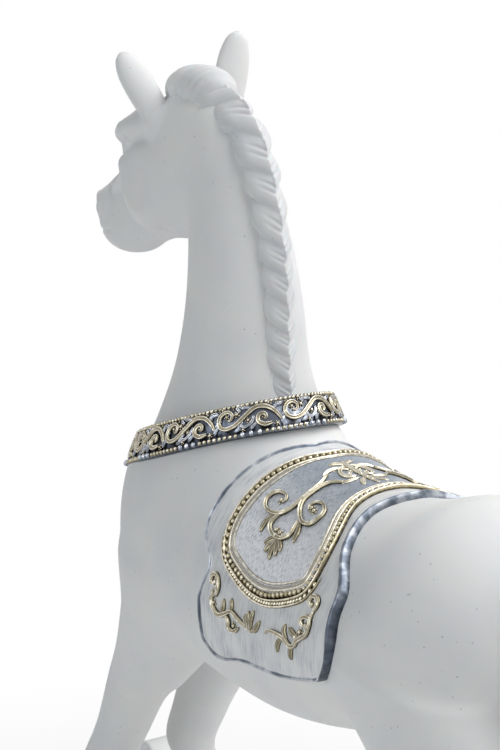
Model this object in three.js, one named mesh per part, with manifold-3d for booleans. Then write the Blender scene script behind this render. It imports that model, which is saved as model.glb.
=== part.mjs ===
// A rocking horse figurine in cast resin: a white horse with a plaited mane, dressed in a silver and gold
// collar and saddle cloth, its four hooves pegged on a pair of curved rockers.
// Millimetres, +Z up. The horse faces -Y and its left side is +X. The origin lies on the surface the rockers
// stand on, below the middle of the rockers.
import * as THREE from "three";
import { mergeVertices } from "three/addons/utils/BufferGeometryUtils.js";
import Module from "manifold-3d";

const wasm = await Module();
wasm.setup();

// Stance and rockers
const ROCKER_RADIUS = 430;
const ROCKER_FLAT = 36;
const RAIL_HEIGHT = 14;
const RAIL_THICKNESS = 14;
const RAIL_X = 24;
const VOLUTE_AT = 164;
const VOLUTE_RADIUS = 9.5;
const HOOF_AT = 143;
const CROSSBAR_AT = 86;
const CROSSBAR_WIDTH = 18;
const CROSSBAR_HEIGHT = 8;

// Body
const CHEST_Y = -108;
const BUTTOCK_Y = 108;
const CHEST_ROUND = 34;
const BUTTOCK_ROUND = 42;
const BELLY_FULLNESS = 2.3;

// Collar and saddle cloth
const BLANKET_THICKNESS = 1.5;
const HEM_HEIGHT = 1;
const PANEL_THICKNESS = 0.9;
const FRAME_HALF_WIDTH = 2.6;
const FRAME_HEIGHT = 2;
const SCROLL_HALF_WIDTH = 0.9;
const SCROLL_HEIGHT = 1.3;
const BERRY_RADIUS = 1.3;
const RIM_HEIGHT = 1;
const STROKE_STEP = 3.4;

// Mane
const LOCK_PITCH = 4.9;
const LOCK_HALF_LENGTH = 7.4;
const LOCK_HALF_WIDTH = 3;
const HOOD_SHARE = 0.19;
const HOOD_HALF_WIDTH = 6.2;
const HOOD_HEIGHT = 5.4;

// Fits
const SEAT_GAP = 0.3;
const TENON_RADIUS = 5;
const SPIGOT_RADIUS = 10;
const SPIGOT_LENGTH = 12;
const HOOF_PEG_RADIUS = 2.5;
const HOOF_PEG_LENGTH = 6;
const BAR_TENON_LENGTH = 4;

// Finishes
const WHITE_RESIN = { color: 0xf1f1ef, roughness: 0.62, metalness: 0 };
const SILVER_PAINT = { color: 0xb7bbc2, roughness: 0.38, metalness: 0.75 };
const DARK_SILVER_PAINT = { color: 0x767d88, roughness: 0.42, metalness: 0.7 };
const GOLD_PAINT = { color: 0xc9b98f, roughness: 0.35, metalness: 0.8 };

// Solids from triangles, and back

function solid(geometry) {
  const plain = geometry.index ? geometry.toNonIndexed() : geometry.clone();
  plain.deleteAttribute("normal");
  plain.deleteAttribute("uv");
  const merged = mergeVertices(plain, 1e-4);
  return new wasm.Manifold(
    new wasm.Mesh({
      numProp: 3,
      vertProperties: merged.attributes.position.array,
      triVerts: new Uint32Array(merged.index.array),
    }),
  );
}

function geometryOf(made) {
  const mesh = made.getMesh();
  const positions = new Float32Array(mesh.numVert * 3);
  for (let i = 0; i < mesh.numVert; i++) {
    positions.set(mesh.vertProperties.subarray(i * mesh.numProp, i * mesh.numProp + 3), i * 3);
  }
  const geometry = new THREE.BufferGeometry();
  geometry.setAttribute("position", new THREE.BufferAttribute(positions, 3));
  geometry.setIndex(new THREE.BufferAttribute(mesh.triVerts, 1));
  return geometry;
}

// A fair line through a few stations [x, value], as a draughtsman's spline gives it.
function fairLine(stations) {
  const last = stations.length - 1;
  const slopes = stations.map((_, i) => {
    const a = stations[Math.max(i - 1, 0)];
    const b = stations[Math.min(i + 1, last)];
    return (b[1] - a[1]) / (b[0] - a[0]);
  });
  return (x) => {
    let i = 0;
    while (i < last - 1 && x > stations[i + 1][0]) i += 1;
    const [x0, v0] = stations[i];
    const [x1, v1] = stations[i + 1];
    const span = x1 - x0;
    const t = THREE.MathUtils.clamp((x - x0) / span, 0, 1);
    const t2 = t * t;
    const t3 = t2 * t;
    const start = v0 * (2 * t3 - 3 * t2 + 1) + slopes[i] * span * (t3 - 2 * t2 + t);
    const end = v1 * (3 * t2 - 2 * t3) + slopes[i + 1] * span * (t3 - t2);
    return start + end;
  };
}

// A closed body over a row of rings, each a list of points with the same count, turning either way.
// The row is closed by a ladder of faces at each end, or joined end to end when it runs in a loop.
function skinned(rings, loop = false) {
  const count = rings[0].length;
  const faces = [];
  const rows = loop ? rings.length : rings.length - 1;
  for (let r = 0; r < rows; r++) {
    const here = r * count;
    const next = ((r + 1) % rings.length) * count;
    for (let i = 0; i < count; i++) {
      const j = (i + 1) % count;
      faces.push(here + i, here + j, next + j, here + i, next + j, next + i);
    }
  }
  const close = (start, order) => {
    for (let i = 0, j = count - 1; j - i > 1; i++, j--) {
      const quad = [start + i, start + i + 1, start + j, start + j, start + i + 1, start + j - 1];
      const used = j - i > 2 ? quad : quad.slice(0, 3);
      faces.push(...(order > 0 ? used : used.reverse()));
    }
  };
  if (!loop) {
    close(0, -1);
    close((rings.length - 1) * count, 1);
  }
  const geometry = new THREE.BufferGeometry().setFromPoints(rings.flat());
  geometry.setIndex(faces);
  const made = solid(geometry);
  if (made.volume() > 0) return made;
  geometry.setIndex(faces.reverse());
  return solid(geometry);
}

const along = (count, make) => Array.from({ length: count }, (_, i) => make(i / (count - 1), i));
const around = (count, make) => Array.from({ length: count }, (_, i) => make((2 * Math.PI * i) / count, i));
const bothSides = [
  ["left", 1],
  ["right", -1],
];

function rod(from, to, radius, sides = 12) {
  const axis = to.clone().sub(from);
  const geometry = new THREE.CylinderGeometry(radius, radius, axis.length(), sides);
  geometry.translate(0, axis.length() / 2, 0);
  const turn = new THREE.Quaternion().setFromUnitVectors(new THREE.Vector3(0, 1, 0), axis.normalize());
  geometry.applyQuaternion(turn);
  geometry.translate(...from);
  return solid(geometry);
}

function rounded(centre, radii, tilt = 0, detail = 16) {
  const geometry = new THREE.SphereGeometry(1, detail, Math.round(detail * 0.7));
  geometry.scale(...radii);
  geometry.rotateX(tilt);
  geometry.translate(...centre);
  return solid(geometry);
}

// The cosine and sine of an angle, pushed out towards the corners of a square.
function squareRound(angle, squareness) {
  const power = 2 / squareness;
  const c = Math.cos(angle);
  const s = Math.sin(angle);
  return [Math.sign(c) * Math.abs(c) ** power, Math.sign(s) * Math.abs(s) ** power];
}

// Torso: fair lines give the back, the belly, the half width and the fullness of the shoulders along Y

const backLine = fairLine([
  [CHEST_Y, 182],
  [-84, 203],
  [-50, 207],
  [-20, 205],
  [0, 200.5],
  [22, 199],
  [50, 203.5],
  [74, 210],
  [94, 204.5],
  [BUTTOCK_Y, 186],
]);
const bellyLine = fairLine([
  [CHEST_Y, 139],
  [-84, 128],
  [-45, 121.5],
  [0, 120.5],
  [40, 129],
  [75, 142],
  [BUTTOCK_Y, 152],
]);
const flankLine = fairLine([
  [CHEST_Y, 33],
  [-70, 38.5],
  [-30, 40],
  [40, 40],
  [70, 41],
  [BUTTOCK_Y, 36],
]);
const fullnessLine = fairLine([
  [CHEST_Y, 2.5],
  [-70, 2.4],
  [-25, 1.95],
  [BUTTOCK_Y, 1.95],
]);

// How far a section has grown out of the rounded end of the body: 0 at the tip, 1 past the rounding.
function endRound(y, grow) {
  const front = (y - CHEST_Y + grow) / (CHEST_ROUND + grow);
  const rear = (BUTTOCK_Y + grow - y) / (BUTTOCK_ROUND + grow);
  const share = THREE.MathUtils.clamp(Math.min(front, rear), 0, 1);
  return Math.sqrt(1 - (1 - share) ** 2);
}

// A point of the torso's skin at station y and an angle round the body: 0 is the spine, +90 degrees the
// left flank.
function torsoPoint(y, angle, grow = 0) {
  const top = backLine(y);
  const bottom = bellyLine(y);
  const middle = (top + bottom) / 2 - 2;
  const round = endRound(y, grow);
  const upper = Math.cos(angle) > 0;
  const [c, s] = squareRound(angle, upper ? fullnessLine(y) : BELLY_FULLNESS);
  const rise = upper ? top - middle : middle - bottom;
  return new THREE.Vector3(s * (flankLine(y) + grow) * round, y, middle + c * (rise + grow) * round);
}

function torsoForm(grow) {
  const first = CHEST_Y - grow;
  const last = BUTTOCK_Y + grow;
  const rings = along(21, (share) => {
    const eased = (1 - Math.cos(Math.PI * share)) / 2;
    const y = THREE.MathUtils.clamp(first + (last - first) * eased, first + 0.4, last - 0.4);
    return around(28, (angle) => torsoPoint(y, angle, grow));
  });
  return skinned(rings);
}

// Neck, head and legs: each station gives two points of the side view, front or top first, then the
// middle of the section across the body and its half width: [y, z, y, z, x, half width]

function limbForm(stations, sides, steps, grow = 0) {
  const columns = stations[0].map((_, c) => fairLine(stations.map((station, i) => [i, station[c]])));
  const rings = along(steps + 1, (share) => {
    const [fy, fz, ry, rz, x, half] = columns.map((line) => line((stations.length - 1) * share));
    const centre = new THREE.Vector3(x, (fy + ry) / 2, (fz + rz) / 2);
    const deep = new THREE.Vector3(0, fy - ry, fz - rz);
    const depth = deep.length() / 2 + grow;
    deep.normalize();
    return around(sides, (angle) => {
      const [c, s] = squareRound(angle, 2.2);
      const point = centre.clone().addScaledVector(deep, depth * c);
      point.x += (half + grow) * s;
      return point;
    });
  });
  return skinned(rings);
}

const mirrored = (stations) => stations.map(([fy, fz, ry, rz, x, half]) => [fy, fz, ry, rz, -x, half]);

const NECK = [
  [-102, 150, -20, 160, 0, 30],
  [-106, 182, -20, 200, 0, 32.5],
  [-96, 201, -30, 216, 0, 25.5],
  [-86.5, 222, -34.5, 230, 0, 21],
  [-81, 243, -36.4, 245, 0, 18.8],
  [-81, 262, -38.6, 260, 0, 16.6],
  [-84, 276, -43, 276, 0, 14.4],
  [-88, 286, -50, 292, 0, 12.4],
  [-88, 296, -58.5, 305, 0, 11.5],
  [-84, 304, -68, 313, 0, 9],
];
const HEAD = [
  [-66, 312, -66, 280, 0, 9],
  [-84, 318, -78, 268, 0, 14.5],
  [-102, 316, -90, 265.5, 0, 14.5],
  [-117, 309, -104, 264, 0, 12.8],
  [-127, 298, -114, 261.5, 0, 9.4],
  [-135.5, 289, -124.5, 257, 0, 8.4],
  [-144, 284, -136, 255, 0, 8.6],
  [-150.4, 279.3, -145, 255.6, 0, 8.6],
  [-153.2, 273, -150.6, 259, 0, 5.8],
  [-153.8, 269, -152.8, 263.2, 0, 2],
];

// Forms of one side of the face: middle, three radii, tilt about the line across the head, and sides
const FACE = {
  cheek: [[8, -91, 286], [7.6, 13, 17], 0.2, 12],
  brow: [[8.5, -112, 303.4], [6.4, 16, 6.8], 0.4, 12],
  browRidge: [[9.4, -119.5, 302.4], [5, 6.4, 2.8], 0.35, 8],
  cheekBone: [[9.4, -116, 290.5], [4.8, 11, 5.4], 0.62, 9],
  eye: [[10.4, -118, 297], [3.6, 4.2, 3.2], 0.3, 9],
  nostril: [[6.4, -146, 273.2], [3.6, 5.2, 4.8], 0.5, 9],
};
const JOWL = { centre: [8, -103.5, 284.3], radius: 16.4, halfThickness: 7.4, rounding: 3.4 };
const NOSTRIL_HOLE = [[9.6, -149, 273.2], [2.6, 1.7, 2.5], 0.5, 8];
const MOUTH = [[0, -149.5, 263.8], [10, 10, 0.7], 0.15, 14];
const neckForm = (grow) => limbForm(NECK, 20, 15, grow);
const skullForm = (grow) => limbForm(HEAD, 18, 15, grow);

// The jowl is a thick disc that stands across the head, its rim rounded.
function jowl(side) {
  const { centre, radius, halfThickness, rounding } = JOWL;
  const [x, y, z] = centre;
  const half = [
    [0, halfThickness],
    [radius - rounding, halfThickness],
    [radius - 0.3 * rounding, halfThickness - 0.3 * rounding],
    [radius, halfThickness - rounding],
  ];
  const outline = [...half, ...half.map(([r, h]) => [r, -h]).reverse()];
  const disc = new THREE.LatheGeometry(outline.map(([r, h]) => new THREE.Vector2(r, -h)), 20);
  disc.rotateZ(Math.PI / 2);
  disc.translate(side * x, y, z);
  return solid(disc);
}

// The jowls, brows, cheek bones, eyes and nostrils stand out; the nostril holes and the mouth are sunk.
function headForm() {
  const placed = ([[x, y, z], ...rest], side) => rounded([side * x, y, z], ...rest);
  let head = skullForm(0);
  for (const [, side] of bothSides) {
    for (const form of Object.values(FACE)) head = head.add(placed(form, side));
    head = head.add(jowl(side)).subtract(placed(NOSTRIL_HOLE, side));
  }
  return head.subtract(placed(MOUTH, 1));
}

// The joint between neck and torso is a sloping plane, low at the chest and hidden under the collar.
const JOINT_SLOPE = 0.33;
const JOINT_AT = new THREE.Vector3(0, -62, 202);
const jointNormal = new THREE.Vector3(0, -JOINT_SLOPE, 1).normalize();

function aboveJoint(lift) {
  const size = 400;
  const geometry = new THREE.BoxGeometry(size, size, size);
  geometry.translate(0, 0, size / 2 + lift);
  geometry.rotateX(Math.atan(JOINT_SLOPE));
  geometry.translate(...JOINT_AT);
  return solid(geometry);
}

function spigot(extra) {
  const high = JOINT_AT.clone().addScaledVector(jointNormal, 4);
  const low = JOINT_AT.clone().addScaledVector(jointNormal, -SPIGOT_LENGTH - extra);
  return rod(high, low, SPIGOT_RADIUS + extra, 16);
}

// Ears: leaf-shaped, hollow on the side that faces forwards; the left one leans out, the right one stands
// straighter

const EARS = {
  left: { root: [12, -97, 309], tip: [22, -104, 330], facing: [0.12, -1, 0] },
  right: { root: [-13.6, -92.8, 310], tip: [-18, -91.5, 337], facing: [-0.25, -1, 0] },
};
const earWidth = fairLine([
  [-0.2, 5.2],
  [0, 5.4],
  [0.33, 6],
  [0.65, 5.7],
  [0.85, 4.4],
  [0.95, 2.8],
  [1, 0.7],
]);

function earForm(ear, { from, widthShare, depthShare, forward }) {
  const start = new THREE.Vector3(...ear.root);
  const axis = new THREE.Vector3(...ear.tip).sub(start);
  const facing = new THREE.Vector3(...ear.facing);
  facing.addScaledVector(axis, -facing.dot(axis) / axis.lengthSq()).normalize();
  const across = new THREE.Vector3().crossVectors(axis, facing).normalize();
  const rings = along(9, (share) => {
    const at = from + (1 - from) * share;
    const centre = start.clone().addScaledVector(axis, at).addScaledVector(facing, forward);
    return around(10, (angle) =>
      centre
        .clone()
        .addScaledVector(across, earWidth(at) * widthShare * Math.cos(angle))
        .addScaledVector(facing, earWidth(at) * depthShare * Math.sin(angle)),
    );
  });
  return skinned(rings);
}

const earShell = (ear) => earForm(ear, { from: -0.2, widthShare: 1, depthShare: 0.62, forward: 0 });
const earClearance = (ear) => earForm(ear, { from: -0.2, widthShare: 1.06, depthShare: 0.68, forward: 0 });
const earHollow = (ear) => earForm(ear, { from: 0.12, widthShare: 0.66, depthShare: 0.6, forward: 2.3 });

// Mane: a plait along the crest, its locks laid left and right in turn from the poll down to the collar.
// The first lock lies over the poll like a hood. Each station of the crest is [y, z, size of the locks].

const CREST = [
  [-109, 312.5, 1.1],
  [-98, 317.2, 1.3],
  [-86, 318.2, 1.42],
  [-75, 316, 1.44],
  [-63.4, 311.6, 1.42],
  [-53.8, 304.4, 1.36],
  [-47.5, 295, 1.26],
  [-42.5, 284, 1.14],
  [-38.8, 272, 1.02],
  [-36.2, 260, 0.92],
  [-35, 248, 0.86],
  [-34.4, 236, 0.82],
  [-33.6, 224, 0.8],
];

function crestFrame(share) {
  const columns = [0, 1, 2].map((c) => fairLine(CREST.map((station, i) => [i, station[c]])));
  const place = (at) => new THREE.Vector3(0, columns[0](at), columns[1](at));
  const at = (CREST.length - 1) * share;
  const down = place(at + 0.1).sub(place(at - 0.1)).normalize();
  const out = new THREE.Vector3().crossVectors(down, new THREE.Vector3(1, 0, 0)).negate();
  return { point: place(at), down, out, size: columns[2](at) };
}

function maneForm() {
  const sample = along(60, (share) => crestFrame(share).point);
  const length = sample.slice(1).reduce((sum, point, i) => sum + point.distanceTo(sample[i]), 0);
  const locks = Math.round(length / LOCK_PITCH);
  const core = along(16, (share) => {
    const { point, out, size } = crestFrame(share);
    const fade = Math.min(1, 0.35 + 6 * share, 0.35 + 12 * (1 - share));
    return around(6, (angle) =>
      point
        .clone()
        .addScaledVector(out, size * fade * (0.2 + 2.2 * Math.cos(angle)))
        .add(new THREE.Vector3(4.2 * size * fade * Math.sin(angle), 0, 0)),
    );
  });
  const hood = along(9, (share) => {
    const { point, out, size } = crestFrame(0.01 + HOOD_SHARE * share);
    const swell = size * Math.sqrt(1.02 - Math.abs(2 * share - 1) ** 5);
    return around(12, (angle) =>
      point
        .clone()
        .addScaledVector(out, swell * HOOD_HEIGHT * Math.cos(angle))
        .add(new THREE.Vector3(HOOD_HALF_WIDTH * swell * Math.sin(angle), 0, 0)),
    );
  });
  let mane = skinned(core).add(skinned(hood));
  for (let i = 0; i < locks; i++) {
    const at = (i + 0.6) / locks;
    if (at < HOOD_SHARE) continue;
    const side = i % 2 ? 1 : -1;
    const { point, down, out, size } = crestFrame(at);
    const lean = down.clone().addScaledVector(out, 0.22);
    lean.x -= 0.5 * side;
    lean.normalize();
    const lock = new THREE.SphereGeometry(1, 6, 5);
    lock.scale(LOCK_HALF_WIDTH * size, LOCK_HALF_LENGTH * size, LOCK_HALF_WIDTH * size);
    const flat = out.clone().addScaledVector(lean, -out.dot(lean)).normalize();
    const across = new THREE.Vector3().crossVectors(lean, flat);
    lock.applyMatrix4(new THREE.Matrix4().makeBasis(across, lean, flat));
    const seat = point.clone().addScaledVector(out, 1.3 * size);
    lock.translate(seat.x + 2.2 * size * side, seat.y, seat.z);
    mane = mane.add(solid(lock));
  }
  return mane;
}

// Rockers: two rails curved on one radius, flat for a short way below the middle, with a volute at each end

function railUnder(y) {
  const beyond = Math.max(Math.abs(y) - ROCKER_FLAT / 2, 0);
  return ROCKER_RADIUS - Math.sqrt(ROCKER_RADIUS ** 2 - beyond ** 2);
}

const railSlope = (y) => railUnder(y + 0.5) - railUnder(y - 0.5);

// A point on top of a rail at station y, and the rail's upward normal there.
function railTop(y) {
  const normal = new THREE.Vector3(0, -railSlope(y), 1).normalize();
  return { normal, point: new THREE.Vector3(0, y, railUnder(y)).addScaledVector(normal, RAIL_HEIGHT) };
}

// An outline in the side view (Y, Z) given thickness across the horse, its edges rounded.
function sideBoard(outline, thickness, bevel) {
  const geometry = new THREE.ExtrudeGeometry(outline, {
    depth: thickness - 2 * bevel,
    curveSegments: 6,
    bevelEnabled: true,
    bevelSize: bevel,
    bevelOffset: -bevel,
    bevelThickness: bevel,
    bevelSegments: 1,
  });
  geometry.translate(0, 0, bevel - thickness / 2);
  geometry.rotateX(Math.PI / 2);
  geometry.rotateZ(Math.PI / 2);
  return geometry;
}

function railForm() {
  const stations = along(17, (share) => VOLUTE_AT * (2 * share - 1));
  const lower = stations.map((y) => new THREE.Vector2(y, railUnder(y)));
  const upper = stations.map((y) => railTop(y).point).map((point) => new THREE.Vector2(point.y, point.z));
  let rail = solid(sideBoard(new THREE.Shape([...lower, ...upper.reverse()]), RAIL_THICKNESS, 1.2));
  const half = RAIL_THICKNESS / 2;
  const face = [
    [0, half - 0.4],
    [2, half - 1.8],
    [VOLUTE_RADIUS - 4.4, half - 1.8],
    [VOLUTE_RADIUS - 3.6, half],
    [VOLUTE_RADIUS, half - 1.2],
  ];
  const turned = [...face, ...face.map(([r, h]) => [r, -h]).reverse()];
  const outline = turned.map(([r, h]) => new THREE.Vector2(r, -h));
  for (const end of [1, -1]) {
    const volute = new THREE.LatheGeometry(outline, 12);
    volute.rotateZ(Math.PI / 2);
    volute.translate(0, end * VOLUTE_AT, railUnder(VOLUTE_AT) + VOLUTE_RADIUS);
    rail = rail.add(solid(volute));
  }
  return rail;
}

// Crossbars lie between the rails, square to them, with a tenon at each end.
const railGap = 2 * RAIL_X - RAIL_THICKNESS;

function laidOnRails(geometry, end) {
  geometry.rotateX(Math.atan(railSlope(end * CROSSBAR_AT)));
  geometry.translate(0, end * CROSSBAR_AT, railUnder(CROSSBAR_AT) + RAIL_HEIGHT / 2);
  return solid(geometry);
}

function barTenon(end, extra) {
  const length = railGap + 2 * (BAR_TENON_LENGTH + extra);
  const width = CROSSBAR_WIDTH - 6 + 2 * extra;
  const height = CROSSBAR_HEIGHT - 3 + 2 * extra;
  return laidOnRails(new THREE.BoxGeometry(length, width, height), end);
}

function crossbar(end) {
  const w = CROSSBAR_WIDTH / 2;
  const h = CROSSBAR_HEIGHT / 2;
  const outline = new THREE.Shape();
  outline.moveTo(-w, -h);
  outline.lineTo(w, -h);
  outline.quadraticCurveTo(w + 2, 0, w, h);
  outline.lineTo(-w, h);
  outline.quadraticCurveTo(-w - 2, 0, -w, -h);
  return laidOnRails(sideBoard(outline, railGap - 2 * SEAT_GAP, 0.8), end).add(barTenon(end, 0));
}

// Legs: the uppermost stations lie inside the torso, the hoof stands square on its rail

function hoofStations(end) {
  const { point, normal } = railTop(end * HOOF_AT);
  const lengthwise = new THREE.Vector3(0, normal.z, -normal.y);
  return [
    [2.6, 9.5, 15, 7.2],
    [2.4, 8.2, 11, 7.8],
    [1.2, 9.6, 8.6, 9],
    [0.2, 11, 2.4, 9.9],
    [0, 11.4, 0.6, 10.1],
    [0, 11.2, 0, 9.9],
  ].map(([towardsBody, halfLength, height, halfWidth]) => {
    const middle = point
      .clone()
      .addScaledVector(lengthwise, -end * towardsBody)
      .addScaledVector(normal, height + SEAT_GAP);
    const front = middle.clone().addScaledVector(lengthwise, -halfLength);
    const rear = middle.clone().addScaledVector(lengthwise, halfLength);
    return [front.y, front.z, rear.y, rear.z, RAIL_X, halfWidth];
  });
}

const LEGS = {
  foreleg: {
    end: -1,
    tenon: [
      [18.5, -88, 112],
      [19, -74, 136],
    ],
    stations: [
      [-92, 158, -46, 150, 20, 15],
      [-97, 140, -55, 128, 19.5, 15.5],
      [-108, 119, -77, 107, 18, 12],
      [-119, 101, -95, 93, 17, 9.8],
      [-130, 78, -111, 71, 17, 8.6],
      [-138, 62, -121, 56, 18.6, 8.6],
      ...hoofStations(-1),
    ],
  },
  hind_leg: {
    end: 1,
    tenon: [
      [19, 94, 120],
      [20, 84, 156],
    ],
    stations: [
      [48, 164, 99, 158, 21, 18.5],
      [54, 140, 108, 144, 20.5, 17.5],
      [75, 116, 111, 122, 19, 13],
      [95, 98, 118, 104, 17.5, 9.8],
      [109, 76, 127, 81, 17.5, 8],
      [121, 60, 138, 64, 19, 8.4],
      ...hoofStations(1),
    ],
  },
};

function legTenon({ tenon }, side, extra) {
  const [low, high] = tenon.map(([x, y, z]) => new THREE.Vector3(side * x, y, z));
  const reach = high.clone().sub(low).normalize();
  return rod(low, high.addScaledVector(reach, extra), TENON_RADIUS + extra);
}

function hoofPeg({ end }, side, extra) {
  const { point, normal } = railTop(end * HOOF_AT);
  point.x = side * RAIL_X;
  const low = point.clone().addScaledVector(normal, -HOOF_PEG_LENGTH - extra);
  return rod(low, point.addScaledVector(normal, 3), HOOF_PEG_RADIUS + extra, 8);
}

function legForm(leg, side) {
  return limbForm(side > 0 ? leg.stations : mirrored(leg.stations), 12, 15)
    .subtract(torsoForm(SEAT_GAP))
    .add(legTenon(leg, side, 0))
    .add(hoofPeg(leg, side, 0));
}

// Tail: three locks twisted together, rooted in the croup by a tenon. Each station is [y, z, radius].

const TAIL = [
  [92, 191, 5.5],
  [103, 194.5, 7],
  [113.5, 188, 8.4],
  [120, 171, 9.5],
  [121.5, 148, 9.8],
  [121, 126, 9],
  [123, 106, 7],
  [127.5, 92, 3.6],
  [131, 85, 0.8],
];
const TAIL_TENON_AT = [80, 184];
const TAIL_TENON_RADIUS = 3.6;

function tailForm() {
  const columns = [0, 1, 2].map((c) => fairLine(TAIL.map((station, i) => [i, station[c]])));
  const place = (at) => new THREE.Vector3(0, columns[0](at), columns[1](at));
  const rings = along(16, (share) => {
    const at = (TAIL.length - 1) * share;
    const down = place(at + 0.05).sub(place(at - 0.05)).normalize();
    const out = new THREE.Vector3().crossVectors(down, new THREE.Vector3(1, 0, 0));
    return around(12, (angle) => {
      const radius = columns[2](at) * (1 + 0.17 * Math.cos(3 * angle + 1.1 * at));
      const point = place(at).addScaledVector(out, 0.85 * radius * Math.sin(angle));
      point.x += radius * Math.cos(angle);
      return point;
    });
  });
  return skinned(rings);
}

function tailTenon(extra) {
  const outer = new THREE.Vector3(0, TAIL[1][0] + 2, TAIL[1][1] - 2);
  const inner = new THREE.Vector3(0, TAIL_TENON_AT[0] - extra, TAIL_TENON_AT[1]);
  return rod(outer, inner, TAIL_TENON_RADIUS + extra);
}

// Dress: everything that lies on the back is drawn flat as [y, s], where s is the distance round the
// skin from the spine, positive on the left, and is then laid on the body

const girths = new Map();

// The distance from the spine round the skin to each degree of the section at station y.
function girth(y) {
  if (!girths.has(y)) {
    const points = along(151, (_, degree) => torsoPoint(y, THREE.MathUtils.degToRad(degree)));
    const distances = [0];
    for (let i = 1; i < points.length; i++) {
      distances.push(distances[i - 1] + points[i].distanceTo(points[i - 1]));
    }
    girths.set(y, distances);
  }
  return girths.get(y);
}

function girthAngle(y, s) {
  const angleAt = (station) => {
    const distances = girth(station);
    let i = 1;
    while (i < distances.length - 1 && distances[i] < Math.abs(s)) i += 1;
    return i - 1 + (Math.abs(s) - distances[i - 1]) / (distances[i] - distances[i - 1]);
  };
  const low = Math.floor(y);
  const degrees = THREE.MathUtils.lerp(angleAt(low), angleAt(low + 1), y - low);
  return Math.sign(s) * THREE.MathUtils.degToRad(degrees);
}

// The point that stands a given lift above the skin at [y, s].
function onBody(y, s, lift) {
  const angle = girthAngle(y, s);
  const point = torsoPoint(y, angle);
  const lengthwise = torsoPoint(y + 0.5, angle).sub(torsoPoint(y - 0.5, angle));
  const sideways = torsoPoint(y, angle + 0.01).sub(torsoPoint(y, angle - 0.01));
  return point.addScaledVector(lengthwise.cross(sideways).normalize(), -lift);
}

const blanketUnder = 2 * SEAT_GAP;
const blanketTop = blanketUnder + BLANKET_THICKNESS;
const panelUnder = blanketTop + SEAT_GAP;
const panelTop = panelUnder + PANEL_THICKNESS;

// The outline of a cloth: the front and rear edges as y over the distance from the spine, and the
// distance down to the lower edge over the share of the way from front to rear.
const BLANKET = {
  front: fairLine([
    [0, -16.4],
    [15, -21],
    [32, -23.7],
    [42, -23.6],
    [47, -21],
    [51.5, -15.6],
    [56, -15.6],
    [60, -17.4],
    [66, -18.8],
    [82, -18],
  ]),
  rear: fairLine([
    [0, 41.5],
    [14, 39.5],
    [30, 46.5],
    [44.5, 57],
    [52, 57],
    [64.5, 56],
    [71, 50.5],
    [76, 44],
  ]),
  low: fairLine([
    [0, 78.5],
    [0.1, 81],
    [0.2, 79.5],
    [0.42, 73.6],
    [0.74, 72.2],
    [1, 71],
  ]),
};
const PANEL = {
  front: fairLine([
    [0, -9],
    [15, -12],
    [29, -13.3],
    [41, -11.9],
    [47.7, -6.6],
    [50.5, 1.4],
  ]),
  rear: fairLine([
    [0, 28.2],
    [5, 27.9],
    [15, 30.1],
    [29, 38.6],
    [39, 41.2],
    [46, 39.3],
    [49, 32],
  ]),
  low: fairLine([
    [0, 48],
    [0.3, 51],
    [0.7, 50.8],
    [1, 47],
  ]),
};

// Marks across a width: close together at both edges, where a hem may rise, and even between.
function clothMarks(width, edge, between) {
  const margin = edge[edge.length - 1];
  const inner = along(between, (share) => margin + share * (width - 2 * margin));
  return [...edge.slice(0, -1), ...inner, ...edge.slice(0, -1).map((d) => width - d).reverse()];
}

function clothForm(cloth, { inset, under, top, hem, edge, across, down }) {
  const reach = cloth.low(0.5) - inset;
  const rows = clothMarks(2 * reach, edge, down).map((mark) => (mark - reach) / reach);
  const rings = rows.map((row) => {
    const fromLow = reach * (1 - Math.abs(row));
    const point = (share, lift) => {
      const s = row * (cloth.low(share) - inset);
      const first = cloth.front(Math.abs(s)) + inset;
      const last = cloth.rear(Math.abs(s)) - inset;
      return onBody(first + share * (last - first), s, lift);
    };
    const width = cloth.rear(reach / 2) - cloth.front(reach / 2) - 2 * inset;
    const upper = clothMarks(width, edge, across).map((mark) => {
      const fromEdge = Math.min(mark, width - mark, fromLow);
      return point(mark / width, top + hem(fromEdge));
    });
    const lower = along(across, (share) => point(1 - share, under));
    return [...upper, ...lower];
  });
  return skinned(rings);
}

// A closed outline of a cloth as evenly spaced [y, s], its corners eased.
function clothOutline(cloth, inset, count) {
  const rough = [];
  const steps = 120;
  const reach = (share) => cloth.low(share) - inset;
  for (let i = 0; i < steps; i++) {
    const s = reach(0) * ((2 * i) / steps - 1);
    rough.push([cloth.front(Math.abs(s)) + inset, s]);
  }
  for (let i = 0; i < steps; i++) {
    const share = i / steps;
    const s = reach(share);
    rough.push([THREE.MathUtils.lerp(cloth.front(s) + inset, cloth.rear(s) - inset, share), s]);
  }
  const half = rough.slice(steps / 2);
  const rear = along(steps, (share) => reach(1) * (1 - share)).map((s) => [cloth.rear(s) - inset, s]);
  const left = [...half, ...rear];
  const right = left.slice(1, -1).reverse().map(([y, s]) => [y, -s]);
  let loop = [...left, ...right].map(([y, s]) => new THREE.Vector2(y, s));
  for (let pass = 0; pass < 12; pass++) {
    loop = loop.map((point, i) => {
      const before = loop[(i + loop.length - 1) % loop.length];
      const after = loop[(i + 1) % loop.length];
      return point.clone().multiplyScalar(2).add(before).add(after).divideScalar(4);
    });
  }
  const distances = [0];
  for (let i = 0; i < loop.length; i++) {
    distances.push(distances[i] + loop[i].distanceTo(loop[(i + 1) % loop.length]));
  }
  const total = distances[loop.length];
  return Array.from({ length: count }, (_, k) => {
    const target = (total * k) / count;
    let i = 0;
    while (distances[i + 1] < target) i += 1;
    const share = (target - distances[i]) / (distances[i + 1] - distances[i]);
    return loop[i].clone().lerp(loop[(i + 1) % loop.length], share);
  });
}

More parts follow.
